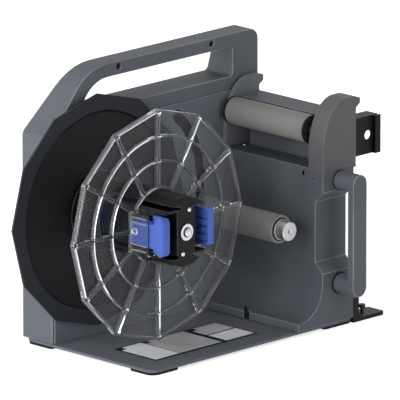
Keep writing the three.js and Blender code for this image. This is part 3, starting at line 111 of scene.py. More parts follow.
# %% [markdown]
# The light is a plain studio: an even pale surround, two large soft lamps on the left, which make the
# left faces of the machine lighter than its front, and weaker ones in front, above and on the right.
# The white background is only seen by the camera, in reflections and through clear plastic, and adds no
# light to the machine.

# %% Surround and lamps
def add_node(tree, kind, inputs=None, **settings):
    """Add a shader node, choose its settings, and give each input a value or a link."""
    made = tree.nodes.new(kind)
    for name, value in settings.items():
        setattr(made, name, value)
    for name, value in (inputs or {}).items():
        if isinstance(value, bpy.types.NodeSocket):
            tree.links.new(value, made.inputs[name])
        else:
            made.inputs[name].default_value = value
    return made


def add_lamp(name, place, target, width, power):
    """A square soft lamp that looks at a place on the drawing."""
    lamp = bpy.data.lights.new(name, "AREA")
    lamp.size = width
    lamp.energy = power
    holder = bpy.data.objects.new(name, lamp)
    holder.location = at(*place)
    holder.rotation_euler = (at(*target) - at(*place)).to_track_quat("-Z", "Y").to_euler()
    bpy.context.collection.objects.link(holder)
    return holder


surround = bpy.data.worlds.new("studio_surround")
surround.use_nodes = True
bpy.context.scene.world = surround
sky = surround.node_tree
sky.nodes.clear()


def seen_directly(tree):
    """1 for rays that show the background: straight to the camera, mirrored or through plastic."""
    path = add_node(tree, "ShaderNodeLightPath").outputs
    either = add_node(tree, "ShaderNodeMath", {0: path["Is Camera Ray"], 1: path["Is Transmission Ray"]},
                      operation="MAXIMUM")
    return add_node(tree, "ShaderNodeMath", {0: either.outputs[0], 1: path["Is Glossy Ray"]},
                    operation="MAXIMUM").outputs[0]


WHITE = (1, 1, 1, 1)
ROOM_LIGHT = 0.28
dim = add_node(sky, "ShaderNodeBackground", {"Color": WHITE, "Strength": ROOM_LIGHT})
white = add_node(sky, "ShaderNodeBackground", {"Color": WHITE, "Strength": 1.0})
either = add_node(sky, "ShaderNodeMixShader", {0: seen_directly(sky), 1: dim.outputs[0], 2: white.outputs[0]})
add_node(sky, "ShaderNodeOutputWorld", {"Surface": either.outputs[0]})

ROOM_MIDDLE = (130, -60, 140)
add_lamp("window_left", (-1750, -250, 620), ROOM_MIDDLE, 1.4, 36)
add_lamp("window_behind", (-1500, 900, 600), ROOM_MIDDLE, 1.2, 17)
fill_front = add_lamp("fill_front", (200, -1900, 600), ROOM_MIDDLE, 1.2, 13)
# The clear plate faces this lamp and would mirror it as a grey veil
fill_front.visible_glossy = False
add_lamp("fill_top", (130, -60, 2000), ROOM_MIDDLE, 1.2, 5)
add_lamp("fill_right", (1900, 300, 450), ROOM_MIDDLE, 1.2, 9)
print("Lamps:", len(bpy.data.lights))

# %% [markdown]
# The machine stands on white paper. The paper takes the light and the shadow as paper does, and a glow
# that only the camera, mirrors and clear plastic see lifts it to the white of the background.

# %% Floor
def to_linear(colour):
    """Turn an sRGB hex colour into the linear colour that a shader takes."""
    channels = [int(colour[i:i + 2], 16) / 255 for i in (1, 3, 5)]
    return tuple(c / 12.92 if c <= 0.04045 else ((c + 0.055) / 1.055) ** 2.4 for c in channels) + (1.0,)


FLOOR_SIZE, FLOOR_GLOW = 30, 0.62
bpy.ops.mesh.primitive_plane_add(size=FLOOR_SIZE, location=(0, 0, 0))
floor = bpy.context.object
floor.name = "studio_floor"
paper = bpy.data.materials.new("white_paper_floor")
paper.use_nodes = True
tree = paper.node_tree
tree.nodes.clear()
matt = add_node(tree, "ShaderNodeBsdfDiffuse", {"Color": to_linear("#f2f2f2")})
glow = add_node(tree, "ShaderNodeEmission", {"Color": WHITE, "Strength": FLOOR_GLOW})
both = add_node(tree, "ShaderNodeAddShader", {0: matt.outputs[0], 1: glow.outputs[0]})
either = add_node(tree, "ShaderNodeMixShader", {
    0: seen_directly(tree), 1: matt.outputs[0], 2: both.outputs[0]})
add_node(tree, "ShaderNodeOutputMaterial", {"Surface": either.outputs[0]})
floor.data.materials.append(paper)
print("Floor:", FLOOR_SIZE, "m wide")

# %% [markdown]
# Most surfaces of the machine are even at first sight and grained when looked at closely: powder paint
# has a fine orange peel, moulded plastic a spark-eroded texture. One recipe serves them all. A large
# soft noise varies the colour and the gloss a little, and a fine noise of the real grain size gives the
# bump. All patterns read Object coordinates, so they are in metres and stay fixed to the piece.

# %% The grained finish
PATCH_MM = 40
# Nearly all values of a noise lie between these two
NOISE_SPAN = (0.3, 0.7)


def finish(name, colour, variation, roughness, spread, grain_mm, depth_mm, metallic=0.0, level=0.5,
           stretch=(1, 1, 1)):
    """A Principled material with grain. Sizes are in millimetres; a stretch below 1 draws the grain out."""
    material = bpy.data.materials.new(name)
    material.use_nodes = True
    tree = material.node_tree
    tree.nodes.clear()
    place = add_node(tree, "ShaderNodeTexCoord").outputs["Object"]
    patches = add_node(tree, "ShaderNodeTexNoise", {
        "Vector": place, "Scale": 1 / (PATCH_MM * MM), "Detail": 4.0})
    drawn = add_node(tree, "ShaderNodeVectorMath", {0: place, 1: stretch}, operation="MULTIPLY").outputs[0]
    grain = add_node(tree, "ShaderNodeTexNoise", {
        "Vector": drawn, "Scale": 1 / (grain_mm * MM), "Detail": 2.0})
    tint = add_node(tree, "ShaderNodeValToRGB", {"Fac": patches.outputs["Fac"]})
    for stop, position, hue in zip(tint.color_ramp.elements, NOISE_SPAN, (variation, colour)):
        stop.position = position
        stop.color = to_linear(hue)
    gloss = add_node(tree, "ShaderNodeMapRange", {
        "Value": grain.outputs["Fac"], "From Min": NOISE_SPAN[0], "From Max": NOISE_SPAN[1],
        "To Min": roughness - spread, "To Max": roughness + spread})
    relief = add_node(tree, "ShaderNodeBump", {
        "Height": grain.outputs["Fac"], "Distance": depth_mm * MM, "Strength": 1.0})
    shader = add_node(tree, "ShaderNodeBsdfPrincipled", {
        "Base Color": tint.outputs["Color"], "Roughness": gloss.outputs["Result"],
        "Normal": relief.outputs["Normal"], "Metallic": metallic, "Specular IOR Level": level})
    add_node(tree, "ShaderNodeOutputMaterial", {"Surface": shader.outputs["BSDF"]})
    return material


# Epoxy powder paint on die-cast aluminium: fine orange peel, so edges catch a thin soft light line
powder_paint = finish("powder_coated_aluminium", "#585b61", "#53565c", 0.52, 0.06, 0.9, 0.03, level=0.12)
# The same paint a shade darker on the cross wall: painted shade for the shade that falls on the wall
shaded_wall_paint = finish("paint_darkened_for_wall_shade", "#52555b", "#4d5056", 0.52, 0.06, 0.9, 0.03, level=0.12)
# The same paint on folded sheet steel, a little flatter and paler
sheet_paint = finish("powder_coated_sheet_steel", "#5b5e65", "#56595f", 0.54, 0.06, 0.9, 0.03, level=0.12)
# A paler, smoother paint on the outer edges: a painted highlight that draws the thin light lines along them
edge_highlight_paint = finish("pale_paint_for_edge_highlight", "#85888e", "#63666c", 0.42, 0.05, 0.9, 0.02, level=0.25)
# Spark-eroded texture of a moulded support: warmer and duller than the paint
moulded_grey = finish("moulded_grey_polycarbonate_blend", "#575659", "#525154", 0.55, 0.06, 0.7, 0.03,
                      level=0.2)
# The same plastic, paler and smoother along its outer edges: a painted highlight on the edges of the supports
moulded_edge_highlight = finish("smooth_moulded_grey_edges", "#646367", "#59585c", 0.45, 0.05, 0.7, 0.02, level=0.25)
# The rear support is painted like the housing
rear_grey = finish("powder_coated_support", "#676a71", "#62656c", 0.52, 0.06, 0.8, 0.03, level=0.15)
print("Materials so far:", len(bpy.data.materials))

# %% [markdown]
# The black and coloured plastics, the rubber and the metals use the same recipe with other values. The
# metals are bright because they reflect the room; the turned ones get rings further down.

# %% Plain plastics, rubber and metals
# Injection moulded ABS with a satin mould texture: deep black with a broad soft sheen
satin_black = finish("satin_black_moulded_abs", "#1a1b1d", "#161719", 0.46, 0.05, 0.6, 0.015, level=0.12)
# Glass-filled nylon of the hub, moulded in a polished tool: black with clearer highlights
hub_black = finish("polished_black_moulded_nylon", "#0d0e0f", "#0a0b0c", 0.30, 0.05, 0.8, 0.01, level=0.12)
# Its rims get a much paler black: a painted highlight along the rounded edges
hub_edge_highlight = finish("rubbed_black_nylon_edges", "#4c4d51", "#2f3033", 0.28, 0.05, 0.8, 0.01, level=0.4)
# Blue ABS of the grips: smooth, evenly dyed
grip_blue = finish("dyed_blue_moulded_abs", "#4058a6", "#3c539f", 0.40, 0.04, 0.6, 0.01, level=0.3)
# Black cathodic paint on folded steel: thin, slightly glossy
bracket_black = finish("black_electrocoated_steel", "#101011", "#0d0d0e", 0.50, 0.06, 0.7, 0.02, level=0.15)
# Nitrile rubber of the feet, pressed in a sanded mould
foot_rubber = finish("pressed_black_nitrile_rubber", "#161617", "#121213", 0.72, 0.06, 0.9, 0.03, level=0.15)
# Roller sleeve of ground grey rubber: matt, with the faint marks of the grinding wheel
roller_rubber = finish("ground_grey_silicone_rubber", "#7a7978", "#747372", 0.60, 0.06, 0.5, 0.02, level=0.15,
                       stretch=(0.08, 1, 0.08))
# Zinc plate on screws and small springs: bright, a little uneven
zinc_plate = finish("bright_zinc_plated_steel", "#c9cacc", "#bcbec2", 0.24, 0.06, 0.8, 0.008, metallic=1.0)
# Black oxide on socket screws: dark metal
black_oxide = finish("black_oxide_steel", "#2b2b2d", "#222224", 0.38, 0.06, 0.6, 0.01, metallic=0.8)
# Machined bare aluminium of the inner works: pale, satin
bare_aluminium = finish("machined_bare_aluminium", "#c4c6c8", "#b8babd", 0.34, 0.07, 0.6, 0.01, metallic=1.0)
# Folded galvanised sheet: dull metal with large soft patches
galvanised = finish("galvanised_sheet_steel", "#a9acae", "#9a9da0", 0.42, 0.08, 6.0, 0.01, metallic=1.0)
# Painted motor can
motor_black = finish("black_painted_motor_can", "#28292b", "#222325", 0.40, 0.05, 0.8, 0.02)
# Belt rubber with a fine cloth print
belt_rubber = finish("moulded_black_belt_rubber", "#1c1c1d", "#171718", 0.65, 0.06, 0.8, 0.03)
# Black film of the instruction plate and its printed panels: even, satin
printed_black = finish("printed_black_polyester_film", "#1a1a1b", "#161617", 0.42, 0.05, 0.8, 0.005,
                       level=0.15)
printed_pale = finish("printed_pale_polyester_film", "#dcddde", "#cbccce", 0.42, 0.05, 2.0, 0.005, level=0.2)
printed_grey = finish("printed_grey_polyester_film", "#b4b5b6", "#98999a", 0.42, 0.05, 2.0, 0.005, level=0.2)
# Turned steel of the axles: bright, with the rings that the tool leaves
turned_steel = finish("turned_bright_steel", "#c4c4c6", "#b6b7b9", 0.36, 0.05, 0.5, 0.006, metallic=1.0,
                      stretch=(0.1, 1, 0.1))
# Solder mask on the circuit board
board_green = finish("green_solder_mask_on_glass_epoxy", "#1f5c3a", "#1a5033", 0.32, 0.05, 3.0, 0.01)
print("Materials now:", len(bpy.data.materials))

# %% [markdown]
# A CAD solid has knife-sharp edges, and nothing real has. For each casting, folded sheet and moulded
# part the CAD mesh is copied, its loose triangles are merged and flat neighbours joined into whole
# faces. A bevel then rounds the edges, and face-weighted normals keep the large faces flat. The CAD node
# itself is only hidden, so the piece stands exactly where the frame has it.

# %% Finished copies of the solids
body_of = {node: body for body, nodes in frame["record"]["behaviour"]["bodies"].items() for node in nodes}


def only(piece):
    """Select one piece and make it active."""
    bpy.ops.object.select_all(action="DESELECT")
    piece.select_set(True)
    bpy.context.view_layer.objects.active = piece


def apply_modifier(piece, kind, **settings):
    """Add a modifier, set it and apply it."""
    only(piece)
    modifier = piece.modifiers.new(kind.lower(), kind)
    for name, value in settings.items():
        setattr(modifier, name, value)
    bpy.ops.object.modifier_apply(modifier=modifier.name)


def combine(piece, other, operation):
    """Join or cut with another solid, and use the other up."""
    apply_modifier(piece, "BOOLEAN", operation=operation, solver="EXACT", object=other)
    bpy.data.objects.remove(other)


def round_edges(piece, width_mm, segments=3):
    """Round the edges of a simple solid, but not the shallow ones of a round or twelve-sided wall."""
    apply_modifier(piece, "BEVEL", width=width_mm * MM, segments=segments, limit_method="ANGLE",
                   angle_limit=radians(60))


def highlight_outer_edges_only(piece):
    """Keep the paler edge finish, a painted highlight, on rounded outer edges only; rounded hollows go back
    to the plain one.
    """
    mesh = bmesh.new()
    mesh.from_mesh(piece.data)
    for face in mesh.faces:
        if face.material_index and sum(edge.calc_face_angle_signed(0) for edge in face.edges) <= 0:
            face.material_index = 0
    mesh.to_mesh(piece.data)
    mesh.free()


def soften(piece, width_mm, segments=3, sharp_deg=30, smooth_deg=35, edge_slot=-1):
    """Round the edges, then shade smooth with flat faces kept flat."""
    if width_mm:
        apply_modifier(piece, "BEVEL", width=width_mm * MM, segments=segments, limit_method="ANGLE",
                       angle_limit=radians(sharp_deg), use_clamp_overlap=False, miter_outer="MITER_ARC",
                       material=edge_slot)
    if edge_slot > 0:
        highlight_outer_edges_only(piece)
    only(piece)
    bpy.ops.object.shade_smooth_by_angle(angle=radians(smooth_deg))
    apply_modifier(piece, "WEIGHTED_NORMAL", keep_sharp=True, weight=80)


def fit(piece, material, *nodes, body=None, slot=None):
    """Paint a piece, let it ride on its body and stand for the CAD nodes that it replaces."""
    if material:
        piece.data.materials.clear()
        piece.data.materials.append(material)
    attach(piece, body or body_of[nodes[0]])
    if nodes:
        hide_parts(*nodes)


def copy_solid(node, name):
    """A merged copy of a CAD node with whole flat faces."""
    mesh = frame["nodes"][node].data.copy()
    piece = bpy.data.objects.new(name, mesh)
    bpy.context.collection.objects.link(piece)
    only(piece)
    bpy.ops.object.mode_set(mode="EDIT")
    bpy.ops.mesh.select_all(action="SELECT")
    bpy.ops.mesh.remove_doubles(threshold=0.01 * MM)
    bpy.ops.mesh.dissolve_limited(angle_limit=radians(0.5))
    bpy.ops.object.mode_set(mode="OBJECT")
    mesh.validate()
    return piece


def dress(piece, width_mm, material, *nodes, edge=None, body=None, slot=None, **rounding):
    """Soft edges and a finish, with a paler one on the outer edges, a painted highlight, where it is given.
    """
    piece.data.materials.clear()
    piece.data.materials.append(material)
    if edge:
        piece.data.materials.append(edge)
    soften(piece, width_mm, edge_slot=1 if edge else -1, **rounding)
    fit(piece, None, *nodes, body=body, slot=slot)
    print(piece.name, len(piece.data.polygons), "faces")


# The last column names the paler finish that paints a highlight on the outer edges
for node, name, width_mm, material, edge in (
        ("main_housing", "housing_casting", 0.8, powder_paint, edge_highlight_paint),
        ("wall_clip", "wall_clip_moulding", 0.3, satin_black, None),
        ("front_roller_support", "front_support_moulding", 0.7, moulded_grey, moulded_edge_highlight),
        ("rear_roller_support", "rear_support_moulding", 0.6, rear_grey, moulded_edge_highlight),
        ("upper_printer_bracket", "upper_bracket_folded", 0.35, bracket_black, None),
        ("lower_printer_bracket", "lower_bracket_folded", 0.35, bracket_black, None),
        ("foot_front_left", "foot_front_left_pad", 0.6, foot_rubber, None),
        ("foot_front_right", "foot_front_right_pad", 0.6, foot_rubber, None),
        ("foot_rear_left", "foot_rear_left_pad", 0.6, foot_rubber, None),
        ("foot_rear_right", "foot_rear_right_pad", 0.6, foot_rubber, None),
        ("power_inlet", "power_inlet_moulding", 0.3, satin_black, None),
        ("power_switch_frame", "switch_frame_moulding", 0.25, satin_black, None),
        ("power_rocker", "rocker_moulding", 0.3, satin_black, None)):
    dress(copy_solid(node, name), width_mm, material, node, edge=edge)

# %% [markdown]
# Round parts such as rollers, axles and washers come from a lathe, so they are made as on one: half of
# the section is drawn point by point with the extrude operator and spun round the axis. The first and
# last copies of the section are merged, and the normals are made to face out.

# %% The lathe
SAME_POINT = 0.001 * MM


def keep_place():
    """Put the place, turn and size of the selected pieces into their meshes."""
    bpy.ops.object.transform_apply(location=True, rotation=True, scale=True)


def faces_out():
    """Make all faces point outwards and leave edit mode."""
    bpy.ops.mesh.select_all(action="SELECT")
    bpy.ops.mesh.normals_make_consistent(inside=False)
    bpy.ops.object.mode_set(mode="OBJECT")


def draw(name, places):
    """Draw a chain of edges from place to place with the extrude operator; edit mode stays on."""
    bpy.ops.object.select_all(action="DESELECT")
    bpy.ops.mesh.primitive_plane_add(size=MM, location=places[0])
    piece = bpy.context.object
    piece.name = piece.data.name = name
    keep_place()
    bpy.ops.object.mode_set(mode="EDIT")
    bpy.ops.mesh.select_all(action="SELECT")
    bpy.ops.mesh.merge(type="CENTER")
    for before, after in zip(places, places[1:]):
        bpy.ops.mesh.extrude_vertices_move(TRANSFORM_OT_translate={"value": after - before})
    bpy.ops.mesh.select_all(action="SELECT")
    return piece


def turn(name, centre, section, steps=96, direction=(0, 1, 0)):
    """Spin a half section, given as (radius, place along the axis) in mm, round an axis."""
    axis = Vector(direction)
    side = Vector((1, 0, 0)) if abs(axis.x) < 0.5 else Vector((0, 0, 1))
    middle = at(*centre)
    places = [middle + (side * radius + axis * along) * MM for radius, along in section]
    if section[0][0] > 0:
        places.append(places[0])
    piece = draw(name, places)
    bpy.ops.mesh.spin(steps=steps, angle=2 * pi, center=middle, axis=axis)
    bpy.ops.mesh.select_all(action="SELECT")
    bpy.ops.mesh.remove_doubles(threshold=SAME_POINT)
    faces_out()
    return piece


def tube(inside, outside, low, high):
    """The half section of a plain tube."""
    return [(inside, low), (outside, low), (outside, high), (inside, high)]


def span(node):
    """A node's box in drawing millimetres: lowest and highest corner."""
    low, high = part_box(node)
    return (low - CORNER) / MM, (high - CORNER) / MM


def axis_of(node):
    """Where the axis of a round node lies that runs from front to back."""
    low, high = span(node)
    return ((low.x + high.x) / 2, 0, (low.z + high.z) / 2)


SPINDLE, DANCER, GUIDE = axis_of("label_core_hub"), axis_of("dancer_roller"), axis_of("guide_roller")
print("Spindle axis at", [round(value, 2) for value in SPINDLE])

# %% Rollers
for node, name, centre, bore, radius in (
        ("dancer_roller", "dancer_sleeve_ground", DANCER, 12.6, 15.2),
        ("guide_roller", "guide_sleeve_ground", GUIDE, 12.3, 15.0)):
    low, high = span(node)
    dress(turn(name, centre, tube(bore, radius, low.y, high.y)), 0.5, roller_rubber, node)

# %% [markdown]
# Some pieces are joined or cut from simple solids, the way a machinist clamps a tool: blocks, rods, and
# prisms that are pushed out from a drawn outline. None of them stays as it is.

# %% Blocks, rods and prisms
def block(low, high):
    """A box between two corners of the drawing."""
    low, high = at(*low), at(*high)
    bpy.ops.object.select_all(action="DESELECT")
    bpy.ops.mesh.primitive_cube_add(size=1, location=(low + high) / 2, scale=high - low)
    keep_place()
    return bpy.context.object


def rod(centre, radius, low, high, sides=48, direction="Y"):
    """A cylinder or prism along an axis of the drawing."""
    turn_to = {"X": (0, pi / 2, 0), "Y": (pi / 2, 0, 0), "Z": (0, 0, 0)}[direction]
    place = list(centre)
    place["XYZ".index(direction)] = (low + high) / 2
    bpy.ops.object.select_all(action="DESELECT")
    bpy.ops.mesh.primitive_cylinder_add(vertices=sides, radius=radius * MM, depth=(high - low) * MM,
                                        location=at(*place), rotation=turn_to)
    keep_place()
    return bpy.context.object


def select_faces(piece, test):
    """In edit mode, select the faces whose middle and normal pass a test."""
    mesh = bmesh.from_edit_mesh(piece.data)
    bpy.ops.mesh.select_all(action="DESELECT")
    for face in mesh.faces:
        face.select_set(test((face.calc_center_median() - CORNER) / MM, face.normal))
    bmesh.update_edit_mesh(piece.data)


def prism(name, outline, low, high, direction="Y"):
    """A solid pushed out from a closed outline of drawing points, between two places on an axis."""
    index = "XYZ".index(direction)
    places = [at(*corner[:index], low, *corner[index:]) for corner in outline]
    push = Vector([float(direction == axis) for axis in "XYZ"]) * (high - low) * MM
    piece = draw(name, places + places[:1])
    bpy.ops.mesh.remove_doubles(threshold=SAME_POINT)
    bpy.ops.mesh.edge_face_add()
    bpy.ops.mesh.extrude_region_move(TRANSFORM_OT_translate={"value": push})
    faces_out()
    return piece


def swing(piece, angle):
    """Turn a piece round the spindle."""
    only(piece)
    bpy.ops.transform.rotate(value=angle, orient_axis="Y", center_override=at(*SPINDLE))
    keep_place()
    return piece


def half_turn(piece, name):
    """A copy with its own mesh, turned by half a turn round the spindle."""
    other = bpy.data.objects.new(name, piece.data.copy())
    other.data.name = name
    bpy.context.collection.objects.link(other)
    return swing(other, pi)


def from_spindle(*corners):
    """Outline corners that are measured from the spindle's axis."""
    return [(SPINDLE[0] + x, SPINDLE[2] + z) for x, z in corners]


# %% [markdown]
# The top of the cross wall reaches over the guide roller as a thin apron, so that the web slides onto
# the roller without a step. Its underside follows the roller with a small gap. In the wall sit two
# black set screws and the dark window of a sensor that watches the web.

# %% The cross wall
wall = copy_solid("side_wall", "side_wall_casting")
top = span("side_wall")[1].z - GUIDE[2]
outline = [(9.2, top), (20.5, top), (20.5, 3.5), (16.9, 3.5), (15.4, 8.5), (12.4, 12.1), (9.2, 13.5)]
apron = prism("apron", [(GUIDE[0] + x, GUIDE[2] + z) for x, z in outline], -127.6, -8.6)
combine(wall, apron, "UNION")
# The darker paint paints the wall's shade, and the paler edge finish paints the highlight of its edges
dress(wall, 0.45, shaded_wall_paint, "side_wall", edge=edge_highlight_paint)
WALL_FACE, SET_SCREW_Y, SET_SCREW_RADIUS = 251, -135, 1.35
for number, height in enumerate((160.5, 46.5), 1):
    centre = (0, SET_SCREW_Y, height)
    screw = turn(f"set_screw_{number}", centre, [
        (0, WALL_FACE - 0.05), (SET_SCREW_RADIUS - 0.15, WALL_FACE - 0.05),
        (SET_SCREW_RADIUS, WALL_FACE + 0.1), (SET_SCREW_RADIUS, WALL_FACE + 3), (0, WALL_FACE + 3)],
        steps=24, direction=(1, 0, 0))
    combine(screw, rod(centre, 0.7, WALL_FACE - 1, WALL_FACE + 2, sides=6, direction="X"), "DIFFERENCE")
    dress(screw, 0, black_oxide, body=body_of["side_wall"], slot="bright_steel")
window = block((WALL_FACE + 0.1, -122.9, 161.1), (WALL_FACE + 2, -119.1, 166.9))
window.name = window.data.name = "web_sensor_window"
dress(window, 0.1, hub_black, body=body_of["side_wall"], slot="black_plastic")

# %% [markdown]
# Before the large sheets get their soft edges, small things are cut into them as in the workshop: the
# square end of the dancer's slot in the front panel, and counterbores for the screws of the back cover
# and under the base.

# %% Panel, cover and base
PIVOT = axis_of("dancer_pivot_post")
SLOT_HALF, SLOT_END_DEG, SLOT_END_MORE = 6.6, 49.6, 4.5
arm = Vector((DANCER[0] - PIVOT[0], DANCER[2] - PIVOT[2])).length
upper = Vector((cos(radians(SLOT_END_DEG)), sin(radians(SLOT_END_DEG))))
onward = Vector((-upper.y, upper.x))
centre = Vector((PIVOT[0], PIVOT[2])) + upper * arm
corners = [centre + upper * side * SLOT_HALF + onward * step
           for side, step in ((-1, -3), (1, -3), (1, SLOT_END_MORE), (-1, SLOT_END_MORE))]
panel = copy_solid("front_panel", "front_panel_sheet")
combine(panel, prism("slot_end", [tuple(corner) for corner in corners], -4, 1), "DIFFERENCE")
dress(panel, 0.35, sheet_paint, "front_panel", edge=edge_highlight_paint)

SCREW_HEAD, SCREW_SEAT, SCREW_SOCKET, FROM_EDGE = 2.9, 1.2, 1.3, 8


def sunk_screws(carrier, places, direction, face, inward, body):
    """Cut counterbores into a sheet and set a small socket screw into each."""
    for number, (first, second) in enumerate(places, 1):
        centre = (first, 0, second) if direction == "Y" else (first, second, 0)
        seat = face + inward * SCREW_SEAT
        hole = rod(centre, SCREW_HEAD + 0.25, *sorted((face - inward, seat)), sides=32, direction=direction)
        combine(carrier, hole, "DIFFERENCE")
        head = turn(f"{carrier.name}_screw_{number}", centre, [
            (0, seat - inward * 0.9), (SCREW_HEAD - 0.4, seat - inward * 0.9),
            (SCREW_HEAD, seat - inward * 0.4), (SCREW_HEAD, seat + inward * 0.2), (0, seat + inward * 0.2)],
            steps=32, direction=(0, 1, 0) if direction == "Y" else (0, 0, 1))
        socket = rod(centre, SCREW_SOCKET, *sorted((seat - inward * 2, seat - inward * 0.3)), sides=6,
                     direction=direction)
        combine(head, socket, "DIFFERENCE")
        dress(head, 0, black_oxide, body=body, slot="bright_steel")


cover_low, cover_high = span("back_cover")
cover = copy_solid("back_cover", "back_cover_sheet")
cover_middle = (cover_low.x + cover_high.x) / 2
places = [(x, z) for x in (cover_low.x + FROM_EDGE, cover_middle, cover_high.x - FROM_EDGE)
          for z in (cover_low.z + FROM_EDGE, cover_high.z - FROM_EDGE)]
sunk_screws(cover, places, "Y", cover_high.y, -1, body_of["back_cover"])
dress(cover, 0.4, sheet_paint, "back_cover", edge=edge_highlight_paint)
base = copy_solid("base_plate", "base_plate_sheet")
sunk_screws(base, [(70, 22), (150, 22), (230, 22), (262, -40), (262, -95)], "Z", 0, 1,
            body_of["base_plate"])
dress(base, 0.4, sheet_paint, "base_plate", segments=5, sharp_deg=50, smooth_deg=20)

# %% [markdown]
# The grip at the front of the cross wall is one casting: two round stubs run on into a flat bar with round
# ends, so bar and stubs share their sides without a seam. The bar is pushed out from its outline, and only
# its front edge is rounded. A thin black rubber ring at the foot of each stub paints the dark shade of the
# gap there; the lower one is wider, where that shade is broader.

# %% The side grip
grip_low, grip_high = span("side_handle")
GRIP_RADIUS, GRIP_BAR = (grip_high.x - grip_low.x) / 2, 8.0
GRIP_X = (grip_low.x + grip_high.x) / 2
grip_ends = (grip_low.z + GRIP_RADIUS, grip_high.z - GRIP_RADIUS)
grip_outline = []
for angle in range(0, 361, 6):
    grip_outline.append((GRIP_X + GRIP_RADIUS * cos(radians(angle)),
                         grip_ends[angle < 180] + GRIP_RADIUS * sin(radians(angle))))
grip = prism("side_handle_casting", grip_outline, grip_low.y, grip_low.y + GRIP_BAR)
grip.data.materials.append(powder_paint)
grip.data.materials.append(edge_highlight_paint)
only(grip)
bpy.ops.object.mode_set(mode="EDIT")
select_faces(grip, lambda middle, normal: normal.y < -0.9)
bpy.ops.mesh.region_to_loop()
# The rounded front edge takes the paler edge paint, a painted highlight
bpy.ops.mesh.bevel(offset=0.8 * MM, segments=3, material=1)
bpy.ops.object.mode_set(mode="OBJECT")
for height in grip_ends:
    stub = rod((GRIP_X, 0, height), GRIP_RADIUS - 0.02, grip_low.y + 2, grip_high.y, sides=90)
    combine(grip, stub, "UNION")
soften(grip, 0)
fit(grip, None, "side_handle")
# Black rings that paint the shade at the feet of the stubs, wider at the lower one
for number, (height, width) in enumerate(zip(grip_ends, (1.3, 0.7)), 1):
    washer = turn(f"side_handle_washer_{number}", (GRIP_X, 0, height),
                  tube(GRIP_RADIUS + 0.02, GRIP_RADIUS + width, grip_high.y - 1.0, grip_high.y))
    dress(washer, 0.15, foot_rubber, body=body_of["side_handle"], slot="rubber_black", segments=2)

# %% [markdown]
# The rear flange is black and moulded like a shallow dish. Its flat rim is coloured a lighter black than the
# dish, and the colour changes at a radius measured from the spindle.

# %% The rear flange
def around(tree, centre):
    """A place relative to an axis of the drawing."""
    place = add_node(tree, "ShaderNodeTexCoord").outputs["Object"]
    return add_node(tree, "ShaderNodeVectorMath", {0: place, 1: at(*centre)}, operation="SUBTRACT").outputs[0]


def reach_from(tree, centre):
    """The distance from an axis that runs from front to back."""
    flat = add_node(tree, "ShaderNodeVectorMath", {0: around(tree, centre), 1: (1, 0, 1)},
                    operation="MULTIPLY").outputs[0]
    return add_node(tree, "ShaderNodeVectorMath", {0: flat}, operation="LENGTH").outputs["Value"]


DISH_RADIUS = 106
rim_black = finish("black_moulded_abs_with_lighter_rim", "#1a1b1d", "#161719", 0.46, 0.05, 0.6, 0.015, level=0.12)
tree = rim_black.node_tree
shader = tree.nodes["Principled BSDF"]
on_rim = add_node(tree, "ShaderNodeMapRange", {
    "Value": reach_from(tree, SPINDLE), "From Min": (DISH_RADIUS - 0.3) * MM,
    "From Max": (DISH_RADIUS + 0.3) * MM})
in_dish = shader.inputs["Base Color"].links[0].from_socket
# The inputs 6 and 7 of a Mix node are its two colours
tone = add_node(tree, "ShaderNodeMix", {0: on_rim.outputs["Result"], 6: in_dish, 7: to_linear("#26272a")},
                data_type="RGBA")
tree.links.new(tone.outputs[2], shader.inputs["Base Color"])
dress(copy_solid("rear_flange", "rear_flange_moulding"), 0.4, rim_black, "rear_flange")

# %% [markdown]
# The outer flange is moulded from clear polycarbonate: a twelve-sided plate with a rim, twelve ribs, two
# ring ribs, a boss in each corner, a collar round the hub and two boxes that hold the latches. It is
# made as a toolmaker would cut it: the tray by inset and extrude, each rib with rounded edges, and
# all of them joined by exact booleans so that light finds one solid with no walls inside.

# %% The clear flange
flange_low, flange_high = span("outer_flange")
FLANGE_SIDES = 12
FLANGE_RADIUS = (flange_high.x - flange_low.x) / 2
RIM_FRONT, PLATE_FRONT, PLATE_BACK = -102.0, -97.8, flange_high.y
RIM_WALL, RIB_HALF, RING_HALF, BOSS_RADIUS = 2.4, 2.3, 1.1, 2.8
COLLAR_RADIUS, RING_RADII, CORNER_RADIUS = 39.5, (68.02, 94.98), FLANGE_RADIUS - 4.0
# Ribs and rings reach into the plate, so that they join it without a seam
ROOT = PLATE_BACK - 1.2
flange = rod(SPINDLE, FLANGE_RADIUS, RIM_FRONT, PLATE_BACK, sides=FLANGE_SIDES)
flange.name = flange.data.name = "clear_flange_moulding"
bpy.ops.object.mode_set(mode="EDIT")
select_faces(flange, lambda middle, normal: normal.y < -0.9)
bpy.ops.mesh.inset(thickness=RIM_WALL * MM, depth=0)
bpy.ops.mesh.extrude_region_move(TRANSFORM_OT_translate={"value": (0, (PLATE_FRONT - RIM_FRONT) * MM, 0)})
bpy.ops.object.mode_set(mode="OBJECT")
round_edges(flange, 0.5, segments=2)
for radius in (COLLAR_RADIUS, *RING_RADII):
    ring = turn("ring", SPINDLE, tube(radius - RING_HALF, radius + RING_HALF, RIM_FRONT, ROOT))
    round_edges(ring, 0.6)
    combine(flange, ring, "UNION")
for index in range(FLANGE_SIDES):
    rib = block((SPINDLE[0] + COLLAR_RADIUS, RIM_FRONT + 0.05, SPINDLE[2] - RIB_HALF),
                (SPINDLE[0] + FLANGE_RADIUS - 2.6, ROOT, SPINDLE[2] + RIB_HALF))
    round_edges(rib, 0.7)
    bosses = [rod((SPINDLE[0] + radius, 0, SPINDLE[2]), BOSS_RADIUS, RIM_FRONT + 0.02, ROOT, sides=20)
              for radius in (*RING_RADII, CORNER_RADIUS)]
    for part in (rib, *bosses):
        combine(flange, swing(part, 2 * pi * index / FLANGE_SIDES), "UNION")
